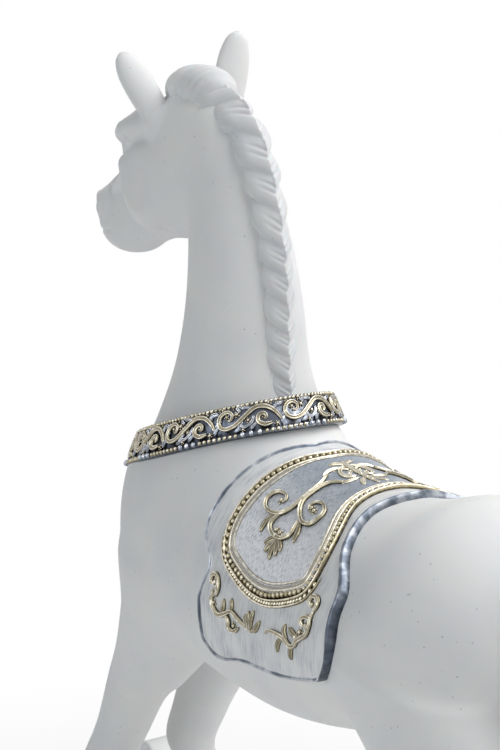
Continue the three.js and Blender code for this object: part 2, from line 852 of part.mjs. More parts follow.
// A moulding that follows a closed outline; its profile is [inwards, up] from the outline and a base lift.
function clothMoulding(outline, base, profile) {
  const area = outline.reduce((sum, point, i) => sum + point.cross(outline[(i + 1) % outline.length]), 0);
  const rings = outline.map((point, i) => {
    const before = outline[(i + outline.length - 1) % outline.length];
    const after = outline[(i + 1) % outline.length];
    const forward = after.clone().sub(before).normalize();
    const inward = new THREE.Vector2(-forward.y, forward.x).multiplyScalar(Math.sign(area));
    return profile.map(([e, h]) => onBody(point.x + inward.x * e, point.y + inward.y * e, base + h));
  });
  return skinned(rings, true);
}

// A stroke of a scroll along a few points [y, s], swelling in the middle: a stem is half round, a leaf has
// a midrib. Profiles are [sideways, up] as shares of the stroke's half width and height.
const STEM_PROFILE = [
  [-1, 0],
  [-0.5, 0.95],
  [0.5, 0.95],
  [1, 0],
];
const LEAF_PROFILE = [
  [-1, 0],
  [0, 1],
  [1, 0],
];

function stroke(path, profile, base, size, side) {
  const curve = new THREE.CatmullRomCurve3(path.map(([y, s]) => new THREE.Vector3(y, s, 0)));
  const count = Math.max(4, Math.round(curve.getLength() / STROKE_STEP));
  const rings = along(count, (share) => {
    const point = curve.getPointAt(share);
    const forward = curve.getTangentAt(share);
    const swell = size * Math.sqrt(Math.min(1, 0.12 + 7 * share * (1 - share)));
    return profile.map(([e, h]) => {
      const shift = e * swell * SCROLL_HALF_WIDTH;
      const y = point.x - forward.y * shift;
      const s = point.y + forward.x * shift;
      return onBody(y, side * s, base + h * swell * SCROLL_HEIGHT);
    });
  });
  return skinned(rings);
}

// A bead or berry, sunk in the stroke it sits on.
function bead([y, s], base, side) {
  const centre = onBody(y, side * s, base + BERRY_RADIUS * 0.75);
  return rounded([...centre], [BERRY_RADIUS, BERRY_RADIUS, BERRY_RADIUS], 0, 6);
}

function applique({ strokes, leaves, beads }, base, side) {
  const parts = [
    ...strokes.map((path) => stroke(path, STEM_PROFILE, base, 1, side)),
    ...leaves.map((path) => stroke(path, LEAF_PROFILE, base, 1.5, side)),
    ...beads.map((place) => bead(place, base, side)),
  ];
  return parts.reduce((whole, part) => whole.add(part));
}

const PANEL_SCROLL = {
  strokes: [
    [
      [4.6, 8], [7.6, 12.6], [8.5, 18], [8.3, 23.3], [6, 26.9], [2.1, 28.1], [-1.7, 27.8],
      [-3.9, 26], [-3.7, 23.4], [-1.9, 21.6], [1.4, 21.3], [3.1, 22.6], [2.6, 24],
    ],
    [
      [12.6, 7.4], [9.8, 9.8], [9, 13], [9, 17.2], [9.4, 20.1], [11.5, 22.8], [14.7, 25],
      [18.4, 26.3], [22, 25.6], [22.9, 22.7], [21.9, 20.3], [18, 18.2], [14.6, 18.6],
      [13.8, 20.4], [15, 21.8],
    ],
    [
      [6, 26.4], [5.2, 30.2], [6.3, 32.1], [9.3, 33.2], [12, 33.4], [14.4, 33], [16.8, 31.1],
      [16.2, 28.6], [14.8, 25],
    ],
  ],
  leaves: [
    [[3.1, 27.9], [2.6, 31.4], [3, 34.7]],
    [[15.6, 25.3], [18.8, 29.4], [20.3, 32.8]],
    [[12.1, 32.8], [12.4, 36.6], [14, 40]],
    [[11.4, 33.6], [9.4, 35], [8.1, 36.8]],
    [[12.8, 33.6], [15, 34.8], [17, 36.5]],
  ],
  beads: [[2, 23.6], [15, 21], [11.8, 32.1], [9.8, 31.9]],
};
const SPINE_ORNAMENT = {
  strokes: [
    [[-1.6, 0], [9.5, 0], [20.6, 0]],
    [[2.4, 0.6], [5, 4], [8.8, 4.8], [11.4, 3], [9.8, 1.4]],
    [[2.4, -0.6], [5, -4], [8.8, -4.8], [11.4, -3], [9.8, -1.4]],
  ],
  leaves: [
    [[12.4, 0], [15.8, 2.6], [19.2, 4.2]],
    [[12.4, 0], [15.8, -2.6], [19.2, -4.2]],
    [[1.4, 0], [-0.4, 2], [-1, 4.4]],
    [[1.4, 0], [-0.4, -2], [-1, -4.4]],
  ],
  beads: [[7, 1.6], [7, -1.6], [14, 0]],
};
const FRONT_SCROLL = {
  strokes: [
    [[-7.6, 59.4], [-7, 55.8], [-8.8, 53.6], [-11, 54.2], [-11.2, 56.4], [-9.6, 56.8]],
    [
      [-7.8, 58.8], [-9.8, 60.8], [-8.4, 63.2], [-5, 63.7], [-1.4, 61.7], [2, 59.8], [5.9, 60.4],
      [10, 61], [13.3, 61.7],
    ],
    [[-1.6, 61.8], [0.8, 63], [1, 65], [3.9, 65], [6.4, 63]],
  ],
  leaves: [
    [[13, 61.6], [10.6, 60.4], [9.4, 57.8]],
    [[13, 61.6], [13, 58.4], [13.8, 55.2]],
    [[13, 61.6], [15.8, 60.2], [17.8, 57.2]],
    [[-4.6, 63.4], [-3, 60.8], [-3.2, 58]],
  ],
  beads: [[-9.4, 55.8], [-8.6, 61.8]],
};
const REAR_SCROLL = {
  strokes: [
    [[45.7, 50.9], [46.9, 48.6], [45.2, 46.8], [43, 46.6], [42, 48], [43, 49.4]],
    [
      [45.7, 50.5], [44.9, 52.7], [45, 54.6], [43.9, 57.2], [40.9, 58.5], [39, 59.4], [37.4, 60.9],
      [34.9, 61], [32, 59.4], [28, 58.7], [23.7, 58.6], [21, 60],
    ],
    [[44.9, 52.9], [41.8, 52.4], [40, 53.6], [41.6, 55.2]],
  ],
  leaves: [
    [[30.6, 59.4], [28.6, 61.4], [28, 64.2]],
    [[39.8, 59], [36.8, 57.8], [34, 56.2]],
    [[36.6, 60.8], [35.4, 62.8], [35.6, 65.4]],
  ],
  beads: [[43.9, 48.9], [42.9, 54.8]],
};

// Collar: a conical band round the foot of the neck between two sloping ovals, with a rim at both edges

const COLLAR = {
  lower: { middle: [0, -65.9, 195.3], halfWidth: 34.5, halfLength: 44.6, slope: 0.36 },
  upper: { middle: [0, -65.2, 207], halfWidth: 30.5, halfLength: 38.5, slope: 0.36 },
};
const COLLAR_DEPTH = 9;

function collarForm() {
  const oval = ({ middle, halfWidth, halfLength, slope }, angle) => {
    const forward = halfLength * Math.cos(angle);
    return new THREE.Vector3(...middle).add(
      new THREE.Vector3(halfWidth * Math.sin(angle), forward, slope * forward),
    );
  };
  const rings = around(36, (angle) => {
    const low = oval(COLLAR.lower, angle);
    const high = oval(COLLAR.upper, angle);
    const tangent = oval(COLLAR.lower, angle + 0.01).sub(oval(COLLAR.lower, angle - 0.01));
    const out = tangent.cross(high.clone().sub(low)).normalize();
    out.multiplyScalar(Math.sign(out.x * low.x + out.y * (low.y - COLLAR.lower.middle[1])));
    return [
      [0, -COLLAR_DEPTH],
      [0, 0.6 * RIM_HEIGHT],
      [0.08, RIM_HEIGHT],
      [0.18, 0],
      [0.82, 0],
      [0.92, RIM_HEIGHT],
      [1, 0.6 * RIM_HEIGHT],
      [1, -COLLAR_DEPTH],
    ].map(([up, outwards]) => low.clone().lerp(high, up).addScaledVector(out, outwards));
  });
  return skinned(rings, true);
}

// Assembly: neighbours are cut clear of one another by the seat gap

const neck = neckForm(0);
const neckClearance = neckForm(SEAT_GAP);
const head = headForm();
const skullClearance = skullForm(SEAT_GAP);
const torsoClearance = torsoForm(SEAT_GAP);

let torso = torsoForm(0).add(neck).subtract(aboveJoint(-SEAT_GAP / 2));
torso = torso.subtract(spigot(SEAT_GAP)).subtract(tailTenon(SEAT_GAP));
for (const [, side] of bothSides) {
  for (const leg of Object.values(LEGS)) torso = torso.subtract(legTenon(leg, side, SEAT_GAP));
}
const neckAndHead = neck.add(head).intersect(aboveJoint(SEAT_GAP / 2)).add(spigot(0));
const collar = collarForm().subtract(torsoClearance).subtract(neckClearance);
let mane = maneForm().subtract(neckClearance).subtract(skullClearance).subtract(head).subtract(collar);
for (const ear of Object.values(EARS)) mane = mane.subtract(earClearance(ear));
const tail = tailForm().subtract(torsoClearance).add(tailTenon(0));

const horse = new THREE.Group();
horse.name = "rocking_horse_figurine";

function add(name, made, finish) {
  const mesh = new THREE.Mesh(geometryOf(made), new THREE.MeshStandardMaterial(finish));
  mesh.name = name;
  horse.add(mesh);
}

add("torso", torso, WHITE_RESIN);
add("neck_and_head", neckAndHead, WHITE_RESIN);
add("braided_mane", mane, WHITE_RESIN);
add("tail", tail, WHITE_RESIN);
add("collar_band", collar, DARK_SILVER_PAINT);

const blanketHem = fairLine([
  [0, -0.8],
  [0.6, 0.8 * HEM_HEIGHT],
  [1.8, HEM_HEIGHT],
  [2.6, 0],
]);
const blanket = clothForm(BLANKET, {
  inset: 0,
  under: blanketUnder,
  top: blanketTop,
  hem: blanketHem,
  edge: [0, 0.6, 1.8, 2.6],
  across: 7,
  down: 20,
});
add("saddle_blanket", blanket, SILVER_PAINT);
const frameOutline = clothOutline(PANEL, FRAME_HALF_WIDTH, 54);
const frameClearance = clothMoulding(frameOutline, panelUnder, [
  [-FRAME_HALF_WIDTH - SEAT_GAP, -1],
  [-FRAME_HALF_WIDTH - SEAT_GAP, FRAME_HEIGHT],
  [FRAME_HALF_WIDTH + SEAT_GAP, FRAME_HEIGHT],
  [FRAME_HALF_WIDTH + SEAT_GAP, -1],
]);
const panel = clothForm(PANEL, {
  inset: 1.6 * FRAME_HALF_WIDTH,
  under: panelUnder,
  top: panelTop,
  hem: () => 0,
  edge: [0],
  across: 7,
  down: 16,
});
add("saddle_panel", panel.subtract(frameClearance), SILVER_PAINT);
const frame = clothMoulding(frameOutline, panelUnder, [
  [-FRAME_HALF_WIDTH, 0],
  [-2.1, 0.85 * FRAME_HEIGHT],
  [-1.2, 0.5 * FRAME_HEIGHT],
  [0.9, 0.5 * FRAME_HEIGHT],
  [1.8, FRAME_HEIGHT],
  [FRAME_HALF_WIDTH, 0],
]);
add("panel_frame", frame, GOLD_PAINT);
add("spine_ornament", applique(SPINE_ORNAMENT, panelTop + SEAT_GAP, 1), GOLD_PAINT);

const rail = railForm();
for (const [name, side] of bothSides) {
  add(`${name}_panel_scroll`, applique(PANEL_SCROLL, panelTop + SEAT_GAP, side), GOLD_PAINT);
  add(`${name}_front_scroll`, applique(FRONT_SCROLL, panelUnder, side), GOLD_PAINT);
  add(`${name}_rear_scroll`, applique(REAR_SCROLL, panelUnder, side), GOLD_PAINT);
  const ear = earShell(EARS[name]).subtract(earHollow(EARS[name])).subtract(skullClearance).subtract(head);
  add(`${name}_ear`, ear, WHITE_RESIN);
  let runner = rail.translate(side * RAIL_X, 0, 0);
  for (const [kind, leg] of Object.entries(LEGS)) {
    add(`${name}_${kind}`, legForm(leg, side), WHITE_RESIN);
    runner = runner.subtract(hoofPeg(leg, side, SEAT_GAP)).subtract(barTenon(leg.end, SEAT_GAP));
  }
  add(`${name}_rocker`, runner, WHITE_RESIN);
}
add("front_crossbar", crossbar(-1), WHITE_RESIN);
add("rear_crossbar", crossbar(1), WHITE_RESIN);

export default horse;
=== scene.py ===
import math

import bpy
import numpy as np
import openvdb as vdb
from mathutils import Matrix, Vector


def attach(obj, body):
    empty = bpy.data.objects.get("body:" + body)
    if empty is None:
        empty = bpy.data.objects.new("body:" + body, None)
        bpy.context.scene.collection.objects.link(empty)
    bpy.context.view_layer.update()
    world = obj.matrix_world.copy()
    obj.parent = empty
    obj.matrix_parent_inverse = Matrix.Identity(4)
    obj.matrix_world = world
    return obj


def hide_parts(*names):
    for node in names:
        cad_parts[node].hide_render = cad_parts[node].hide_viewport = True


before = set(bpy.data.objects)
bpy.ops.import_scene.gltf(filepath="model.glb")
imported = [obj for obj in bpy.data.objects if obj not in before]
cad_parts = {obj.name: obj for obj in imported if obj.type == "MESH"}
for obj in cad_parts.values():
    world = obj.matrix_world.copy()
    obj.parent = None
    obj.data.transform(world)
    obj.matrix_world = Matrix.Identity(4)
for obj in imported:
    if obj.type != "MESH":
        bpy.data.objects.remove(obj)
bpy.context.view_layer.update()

# The photographer's place
# The ornament is seen from behind on its left side and from a little above, close enough that the rump,
# the lower legs and the rockers fall outside the picture. Everything is thought out in millimetres and
# made in metres.

MM = 0.001
VIEW_ROUND = math.radians(148)
VIEW_UP = math.radians(12)
VIEW_DISTANCE = 600.0
AIM = np.array([0.0, -30.0, 221.0])
AIM_PIXEL = (290, 393)
PICTURE = (500, 750)
PIXEL = 0.33

towards_camera = np.array(
    [
        math.cos(VIEW_UP) * math.sin(VIEW_ROUND),
        -math.cos(VIEW_UP) * math.cos(VIEW_ROUND),
        math.sin(VIEW_UP),
    ]
)
picture_right = np.array([math.cos(VIEW_ROUND), math.sin(VIEW_ROUND), 0.0])
picture_up = np.cross(towards_camera, picture_right)
eye_point = (
    AIM
    + VIEW_DISTANCE * towards_camera
    - PIXEL * (AIM_PIXEL[0] - PICTURE[0] / 2) * picture_right
    + PIXEL * (AIM_PIXEL[1] - PICTURE[1] / 2) * picture_up
)
camera = bpy.data.objects.new("camera", bpy.data.cameras.new("camera"))
SENSOR = 36
camera.data.sensor_width = SENSOR
camera.data.lens = SENSOR * (VIEW_DISTANCE / PIXEL) / PICTURE[1]
camera.data.clip_end = 20
camera.matrix_world = Matrix(
    [
        (picture_right[i], picture_up[i], towards_camera[i], eye_point[i] * MM) for i in range(3)
    ]
    + [(0, 0, 0, 1)]
)
bpy.context.collection.objects.link(camera)
bpy.context.scene.camera = camera
bpy.context.scene.view_settings.view_transform = "Standard"

# Body and legs
# The horse is cast in white polyester resin in a rubber mould and left unpolished, so body and legs flow
# into one another with soft fillets. The section of the barrel is a rounded square that stands on fair
# lines for the back, the belly, the flanks and the fullness of the shoulders.


def fair_line(stations):
    """A fair line through a few stations (x, value), as a draughtsman's spline gives it."""
    x, v = np.array(stations, float).T
    before = np.maximum(np.arange(len(x)) - 1, 0)
    after = np.minimum(np.arange(len(x)) + 1, len(x) - 1)
    slopes = (v[after] - v[before]) / (x[after] - x[before])

    def value(at):
        at = np.asarray(at, float)
        i = np.clip(np.searchsorted(x, at) - 1, 0, len(x) - 2)
        span = x[i + 1] - x[i]
        t = np.clip((at - x[i]) / span, 0, 1)
        start = v[i] * (2 * t**3 - 3 * t**2 + 1) + slopes[i] * span * (t**3 - 2 * t**2 + t)
        return start + v[i + 1] * (3 * t**2 - 2 * t**3) + slopes[i + 1] * span * (t**3 - t**2)

    return value


def square_round(angle, squareness):
    """The cosine and sine of an angle, pushed out towards the corners of a square."""
    c, s = np.cos(angle), np.sin(angle)
    power = 2 / np.asarray(squareness, float)
    return np.sign(c) * np.abs(c) ** power, np.sign(s) * np.abs(s) ** power


back_line = fair_line(
    [(-108, 182), (-84, 203), (-50, 207), (-20, 205), (0, 200.5), (22, 199), (50, 203.5),
     (74, 210), (94, 204.5), (108, 186)]
)
belly_line = fair_line(
    [(-108, 139), (-84, 128), (-45, 121.5), (0, 120.5), (40, 129), (75, 142), (108, 152)]
)
flank_line = fair_line([(-108, 33), (-70, 38.5), (-30, 40), (40, 40), (70, 41), (108, 36)])
fullness_line = fair_line([(-108, 2.5), (-70, 2.4), (-25, 1.95), (108, 1.95)])
CHEST_Y, CHEST_ROUND = -108.0, 34.0
BUTTOCK_Y, BUTTOCK_ROUND = 108.0, 42.0
BELLY_FULLNESS = 2.3


def torso_point(y, angle):
    """A point of the barrel's skin at y, at an angle round it: 0 is the spine, 90 degrees the left."""
    y, angle = np.broadcast_arrays(np.asarray(y, float), np.asarray(angle, float))
    top, bottom = back_line(y), belly_line(y)
    middle = (top + bottom) / 2 - 2
    share = np.minimum((y - CHEST_Y) / CHEST_ROUND, (BUTTOCK_Y - y) / BUTTOCK_ROUND)
    rounding = np.sqrt(1 - (1 - np.clip(share, 0, 1)) ** 2)
    upper = np.cos(angle) > 0
    c, s = square_round(angle, np.where(upper, fullness_line(y), BELLY_FULLNESS))
    rise = np.where(upper, top - middle, middle - bottom)
    return np.stack([s * flank_line(y) * rounding, y, middle + c * rise * rounding], -1)


def in_triangles(quads):
    """Each four-sided face as two triangles."""
    return np.concatenate([quads[:, [0, 1, 2]], quads[:, [0, 2, 3]]])


def lofted(rings):
    """Points and triangles of a closed body over a row of rings (rings, points, 3)."""
    rings = np.asarray(rings, float)
    rows, count = rings.shape[:2]
    points = np.concatenate([rings.reshape(-1, 3), rings[:1].mean(1), rings[-1:].mean(1)])
    i = np.arange(rows - 1)[:, None] * count
    j = np.arange(count)[None, :]
    k = (j + 1) % count
    quads = np.stack([i + j, i + k, i + count + k, i + count + j], -1).reshape(-1, 4)
    ring = np.arange(count)
    turned = (ring + 1) % count
    first = np.stack([np.full(count, rows * count), turned, ring], -1)
    end = (rows - 1) * count
    last = np.stack([np.full(count, rows * count + 1), end + ring, end + turned], -1)
    return points, np.concatenate([in_triangles(quads), first, last])


def limb(stations, sides=96, steps=90):
    """A limb through stations: two points of the side view, the middle across the body and the half width."""
    at = np.linspace(0, len(stations) - 1, steps + 1)
    columns = [fair_line(list(enumerate(column)))(at) for column in zip(*stations)]
    fy, fz, ry, rz, x, half = columns
    centre = np.stack([x, (fy + ry) / 2, (fz + rz) / 2], -1)
    deep = np.stack([0 * x, (fy - ry) / 2, (fz - rz) / 2], -1)
    c, s = square_round(np.linspace(0, 2 * np.pi, sides, endpoint=False), 2.2)
    rings = centre[:, None] + deep[:, None] * c[None, :, None]
    rings[:, :, 0] += half[:, None] * s[None, :]
    return lofted(rings)


class Clay:
    """A block of space in which closed shapes are joined with soft fillets and then skinned.
    It holds the distance to the skin in millimetres, less than nothing inside."""

    def __init__(self, low, high, voxel, band):
        self.voxel = voxel
        self.band = band
        self.start = np.floor(np.array(low) / voxel).astype(int)
        self.count = np.ceil(np.array(high) / voxel).astype(int) - self.start + 1
        self.field = np.full(self.count, band, np.float32)

    def solid(self, points, triangles):
        """The distance field of one closed shape."""
        grid = vdb.FloatGrid.createLevelSetFromPolygons(
            np.ascontiguousarray(points, np.float32),
            triangles=np.ascontiguousarray(triangles, np.uint32),
            transform=vdb.createLinearTransform(voxelSize=self.voxel),
            halfWidth=self.band / self.voxel,
        )
        made = np.full(self.count, self.band, np.float32)
        grid.copyToArray(made, ijk=tuple(int(i) for i in self.start))
        return made

    def near(self, low, high):
        """The part of the block between two corners, and its points as three broadcast arrays."""
        a = np.clip(np.floor(np.array(low) / self.voxel).astype(int) - self.start, 0, self.count)
        b = np.clip(np.ceil(np.array(high) / self.voxel).astype(int) - self.start + 1, 0, self.count)
        part = tuple(slice(i, j) for i, j in zip(a, b))
        marks = [(np.arange(i, j) + s) * self.voxel for i, j, s in zip(a, b, self.start)]
        return part, np.meshgrid(*[m.astype(np.float32) for m in marks], indexing="ij", sparse=True)

    def join(self, other, fillet, part=...):
        """Joins a distance field to the clay with a fillet of about that radius."""
        here = self.field[part]
        blend = np.maximum(fillet - np.abs(here - other), 0) / fillet
        self.field[part] = np.minimum(here, other) - blend * blend * (fillet / 4)

    def cut(self, other, fillet, part=...):
        """Takes a distance field out of the clay, with the edge eased."""
        here = self.field[part]
        blend = np.maximum(fillet - np.abs(here + other), 0) / fillet
        self.field[part] = np.maximum(here, -other) + blend * blend * (fillet / 4)

    def skin(self):
        """Points and quads of the skin."""
        grid = vdb.FloatGrid(self.band)
        grid.transform = vdb.createLinearTransform(voxelSize=self.voxel)
        for axis in range(3):
            for edge in (0, -1):
                border = [slice(None)] * 3
                border[axis] = edge
                self.field[tuple(border)] = np.maximum(self.field[tuple(border)], 0.5 * self.voxel)
        grid.copyFromArray(self.field, ijk=tuple(int(i) for i in self.start))
        points, quads = grid.convertToQuads(isovalue=0)
        return points, quads[:, ::-1]


def mesh_piece(name, points, faces, material, smooth=True, soften=0):
    """A piece of the horse from points in millimetres; soften evens its skin that many times."""
    mesh = bpy.data.meshes.new(name)
    mesh.from_pydata([], [], [])
    points = np.asarray(points, np.float32) * MM
    faces = [faces] if isinstance(faces, np.ndarray) else faces
    corners = np.concatenate([f.reshape(-1) for f in faces]).astype(np.int32)
    sizes = np.concatenate([np.full(len(f), f.shape[1]) for f in faces])
    mesh.vertices.add(len(points))
    mesh.vertices.foreach_set("co", points.reshape(-1))
    mesh.loops.add(len(corners))
    mesh.loops.foreach_set("vertex_index", corners)
    mesh.polygons.add(len(sizes))
    mesh.polygons.foreach_set("loop_start", np.concatenate([[0], np.cumsum(sizes)[:-1]]).astype(np.int32))
    mesh.update(calc_edges=True)
    mesh.validate()
    mesh.polygons.foreach_set("use_smooth", np.full(len(sizes), smooth))
    mesh.materials.append(material)
    piece = bpy.data.objects.new(name, mesh)
    bpy.context.collection.objects.link(piece)
    if soften:
        evened = piece.modifiers.new("soften", "SMOOTH")
        evened.factor = 0.5
        evened.iterations = soften
    return piece


SIDES = {"left": 1, "right": -1}
FORELEG = [
    (-92, 158, -46, 150, 20, 15),
    (-97, 140, -55, 128, 19.5, 15.5),
    (-108, 119, -77, 107, 18, 12),
    (-119, 101, -95, 93, 17, 9.8),
    (-130, 78, -111, 71, 17, 8.6),
    (-138, 62, -121, 56, 18.6, 8.6),
]
HIND_LEG = [
    (48, 164, 99, 158, 21, 18.5),
    (54, 140, 108, 144, 20.5, 17.5),
    (75, 116, 111, 122, 19, 13),
    (95, 98, 118, 104, 17.5, 9.8),
    (109, 76, 127, 81, 17.5, 8),
    (121, 60, 138, 64, 19, 8.4),
]
NECK = [
    (-102, 150, -20, 160, 0, 30),
    (-106, 182, -20, 200, 0, 32.5),
    (-96, 201, -30, 216, 0, 25.5),
    (-86.5, 222, -34.5, 230, 0, 21),
    (-81, 243, -36.4, 245, 0, 18.8),
    (-81, 262, -38.6, 260, 0, 16.6),
    (-84, 276, -43, 276, 0, 14.4),
    (-88, 286, -50, 292, 0, 12.4),
    (-88, 296, -58.5, 305, 0, 11.5),
    (-84, 304, -68, 313, 0, 9),
]
ROCKER_RADIUS = 430.0
ROCKER_FLAT = 36.0
RAIL_HEIGHT = 14.0
RAIL_X = 24.0
HOOF_AT = 143.0
# The seam between the casting of the body and that of the neck is a sloping plane below the collar.
SEAM_SLOPE = 0.36
SEAM_AT = (-62.0, 203.0)


def above_seam(y, z):
    """How far a point lies above the plane of the seam."""
    return ((z - SEAM_AT[1]) - SEAM_SLOPE * (y - SEAM_AT[0])) / math.hypot(1, SEAM_SLOPE)


def rail_under(y):
    """The height of a rail's underside at station y."""
    beyond = np.maximum(np.abs(y) - ROCKER_FLAT / 2, 0)
    return ROCKER_RADIUS - np.sqrt(ROCKER_RADIUS**2 - beyond**2)


def rail_top(y):
    """A point on top of a rail at station y, and the rail's upward normal there, as (y, z) pairs."""
    slope = rail_under(y + 0.5) - rail_under(y - 0.5)
    normal = np.array([-slope, 1.0]) / math.hypot(slope, 1)
    return np.array([y, rail_under(y)]) + RAIL_HEIGHT * normal, normal


# Each station of a hoof, from the pastern down: how far it leans towards the body, half length, height
# above the rail, half width.
HOOF = [
    (2.6, 9.5, 15, 7.2),
    (2.4, 8.2, 11, 7.8),
    (1.2, 9.6, 8.6, 9),
    (0.2, 11, 2.4, 9.9),
    (0, 11.4, 0.6, 10.1),
]


def hoof_stations(end):
    """The stations of the left hoof at one end of the horse, in the form that limb takes."""
    point, normal = rail_top(end * HOOF_AT)
    lengthwise = np.array([normal[1], -normal[0]])
    stations = []
    for towards_body, half_length, height, half_width in HOOF:
        middle = point - end * towards_body * lengthwise + (height + 0.05) * normal
        front, rear = middle - half_length * lengthwise, middle + half_length * lengthwise
        stations.append((*front, *rear, RAIL_X, half_width))
    return stations


BODY_VOXEL = 0.8
body_clay = Clay((-46, -160, 20), (46, 160, 222), BODY_VOXEL, 9.0)
stations = CHEST_Y + (BUTTOCK_Y - CHEST_Y) * (1 - np.cos(np.linspace(0.04, np.pi - 0.04, 160))) / 2
rings = torso_point(stations[:, None], np.linspace(0, 2 * np.pi, 160, endpoint=False)[None, :])
body_clay.join(body_clay.solid(*lofted(rings)), 1)
body_clay.join(body_clay.solid(*limb(NECK)), 9)
for leg, end in ((FORELEG, -1), (HIND_LEG, 1)):
    shape_points, shape_faces = limb(leg + hoof_stations(end)[:2])
    for side in (1, -1):
        sided = shape_points * np.array([side, 1, 1])
        body_clay.join(body_clay.solid(sided, shape_faces[:, ::side]), 10)
_, (x, y, z) = body_clay.near((-400, -400, -400), (400, 400, 400))
body_clay.cut(1.0 - above_seam(y, z) + 0 * x, 0.1)


def colour(code):
    """An sRGB hex value as the linear colour a shader works in."""
    parts = [int(code[i : i + 2], 16) / 255 for i in (0, 2, 4)]
    linear = [p / 12.92 if p <= 0.04045 else ((p + 0.055) / 1.055) ** 2.4 for p in parts]
    return (*linear, 1.0)


def add_node(material, kind, inputs=None, stops=(), **settings):
    """Adds a shader node; an input given as (node, output) is a link, any other is the socket's value.
    The stops of a ramp are (place, hex colour)."""
    tree = material.node_tree
    made = tree.nodes.new("ShaderNode" + kind)
    for name, value in settings.items():
        setattr(made, name, value)
    for i, (place, code) in enumerate(stops):
        stop = made.color_ramp.elements[i] if i < 2 else made.color_ramp.elements.new(place)
        stop.position = place
        stop.color = colour(code)
    for name, value in (inputs or {}).items():
        if isinstance(value, tuple) and isinstance(value[0], bpy.types.Node):
            tree.links.new(value[0].outputs[value[1]], made.inputs[name])
        else:
            made.inputs[name].default_value = value
    return made


def new_material(name):
    """A material with an empty node tree."""
    material = bpy.data.materials.new(name)
    material.use_nodes = True
    material.node_tree.nodes.clear()
    return material


# White polyester resin, cast and left matt: IOR 1.5 and a rough skin, a soft spread of light just below it,
# a fine grain from the mould, faint clouds of grey, and now and then the dark pinhole of an air bubble.
def cast_resin(name, dim, light):
    material = new_material(name)
    place = add_node(material, "TexCoord")
    clouds = add_node(material, "TexNoise", {"Vector": (place, "Object"), "Scale": 1000 / 22, "Detail": 3.0})
    tint = add_node(material, "ValToRGB", {"Fac": (clouds, "Fac")}, stops=[(0.3, dim), (0.7, light)])
    cells = add_node(
        material, "TexVoronoi", {"Vector": (place, "Object"), "Scale": 1000 / 3.1, "Randomness": 1.0}
    )
    hole = add_node(
        material, "MapRange",
        {"Value": (cells, "Distance"), "From Min": 0.05, "From Max": 0.11, "To Min": 1.0, "To Max": 0.0},
    )
    chosen = add_node(material, "SeparateColor", {"Color": (cells, "Color")})
    rare = add_node(material, "Math", {0: (chosen, "Red"), 1: 0.58}, operation="GREATER_THAN")
    speck = add_node(material, "Math", {0: (hole, "Result"), 1: (rare, "Value")}, operation="MULTIPLY")
    strength = add_node(material, "Math", {0: (speck, "Value"), 1: 0.5}, operation="MULTIPLY")
    base = add_node(
        material, "Mix", {0: (strength, "Value"), 6: (tint, "Color"), 7: colour("8E8C88")}, data_type="RGBA"
    )
    grain = add_node(material, "TexNoise", {"Vector": (place, "Object"), "Scale": 1000 / 0.9, "Detail": 4.0})
    dented = add_node(material, "Math", {0: (grain, "Fac"), 1: (speck, "Value")}, operation="SUBTRACT")
    bump = add_node(material, "Bump", {"Height": (dented, "Value"), "Strength": 0.16, "Distance": 0.00012})
    shader = add_node(
        material, "BsdfPrincipled",
        {
            "Base Color": (base, 2), "Roughness": 0.6, "IOR": 1.5, "Subsurface Weight": 0.12,
            "Subsurface Scale": 0.0015, "Normal": (bump, "Normal"),
        },
    )
    add_node(material, "OutputMaterial", {"Surface": (shader, "BSDF")})
    return material


white_resin = cast_resin("white_polyester_resin_cast_matt", "ECEDEF", "F4F4F2")
body_points, body_faces = body_clay.skin()
body = mesh_piece("body_casting", body_points, body_faces, white_resin, soften=8)
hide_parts("torso", "left_foreleg", "right_foreleg", "left_hind_leg", "right_hind_leg")
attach(body, "root")

# Hooves
# Each leg of the casting ends in a hoof with a crisp coronet and a square edge below, trimmed flat where
# it was glued on the rocker.

# The swelling of the hoof's section over the share of the way down it.
HOOF_SWELL = [
    (0.0, 0.9), (0.02, 0.985), (0.05, 1.0), (0.2, 1.0), (0.24, 0.955), (0.28, 0.975), (0.6, 1.01),
    (0.95, 1.0), (0.985, 0.99), (1.0, 0.965),
]
for leg_name, end in (("foreleg", -1), ("hind_leg", 1)):
    path = hoof_stations(end)[1:]
    columns = [fair_line(list(enumerate(column))) for column in zip(*path)]
    rings = []
    for share, swell in HOOF_SWELL:
        fy, fz, ry, rz, x, half = [line(share * (len(path) - 1)) for line in columns]
        centre = np.array([x, (fy + ry) / 2, (fz + rz) / 2])
        deep = np.array([0, (fy - ry) / 2, (fz - rz) / 2])
        c, s = square_round(np.linspace(0, 2 * np.pi, 96, endpoint=False), 2.15)
        ring = centre + deep * (swell * c)[:, None]
        ring[:, 0] += half * swell * s
        rings.append(ring)
    hoof_points, hoof_faces = lofted(rings)
    for side_name, side in SIDES.items():
        hoof = mesh_piece(
            f"{side_name}_{leg_name}_hoof", hoof_points * (side, 1, 1), hoof_faces[:, ::side], white_resin
        )
        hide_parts(f"{side_name}_{leg_name}")
        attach(hoof, "root")

# Neck and head
# The neck and the head are one casting, glued on the body under the collar. The face is modelled by soft
# additions and cuts: deep jowls, a dished nose, hooded eyes, flared nostrils and a closed mouth.

HEAD = [
    (-66, 312, -66, 280, 0, 9),
    (-84, 318, -78, 268, 0, 14.5),
    (-102, 316, -90, 265.5, 0, 14.5),
    (-117, 309, -104, 264, 0, 12.8),
    (-127, 298, -114, 261.5, 0, 9.4),
    (-135.5, 289, -124.5, 257, 0, 8.4),
    (-144, 284, -136, 255, 0, 8.6),
    (-150.4, 279.3, -145, 255.6, 0, 8.6),
    (-153.2, 273, -150.6, 259, 0, 5.8),
    (-153.8, 269, -152.8, 263.2, 0, 2),
]
HEAD_VOXEL = 0.42


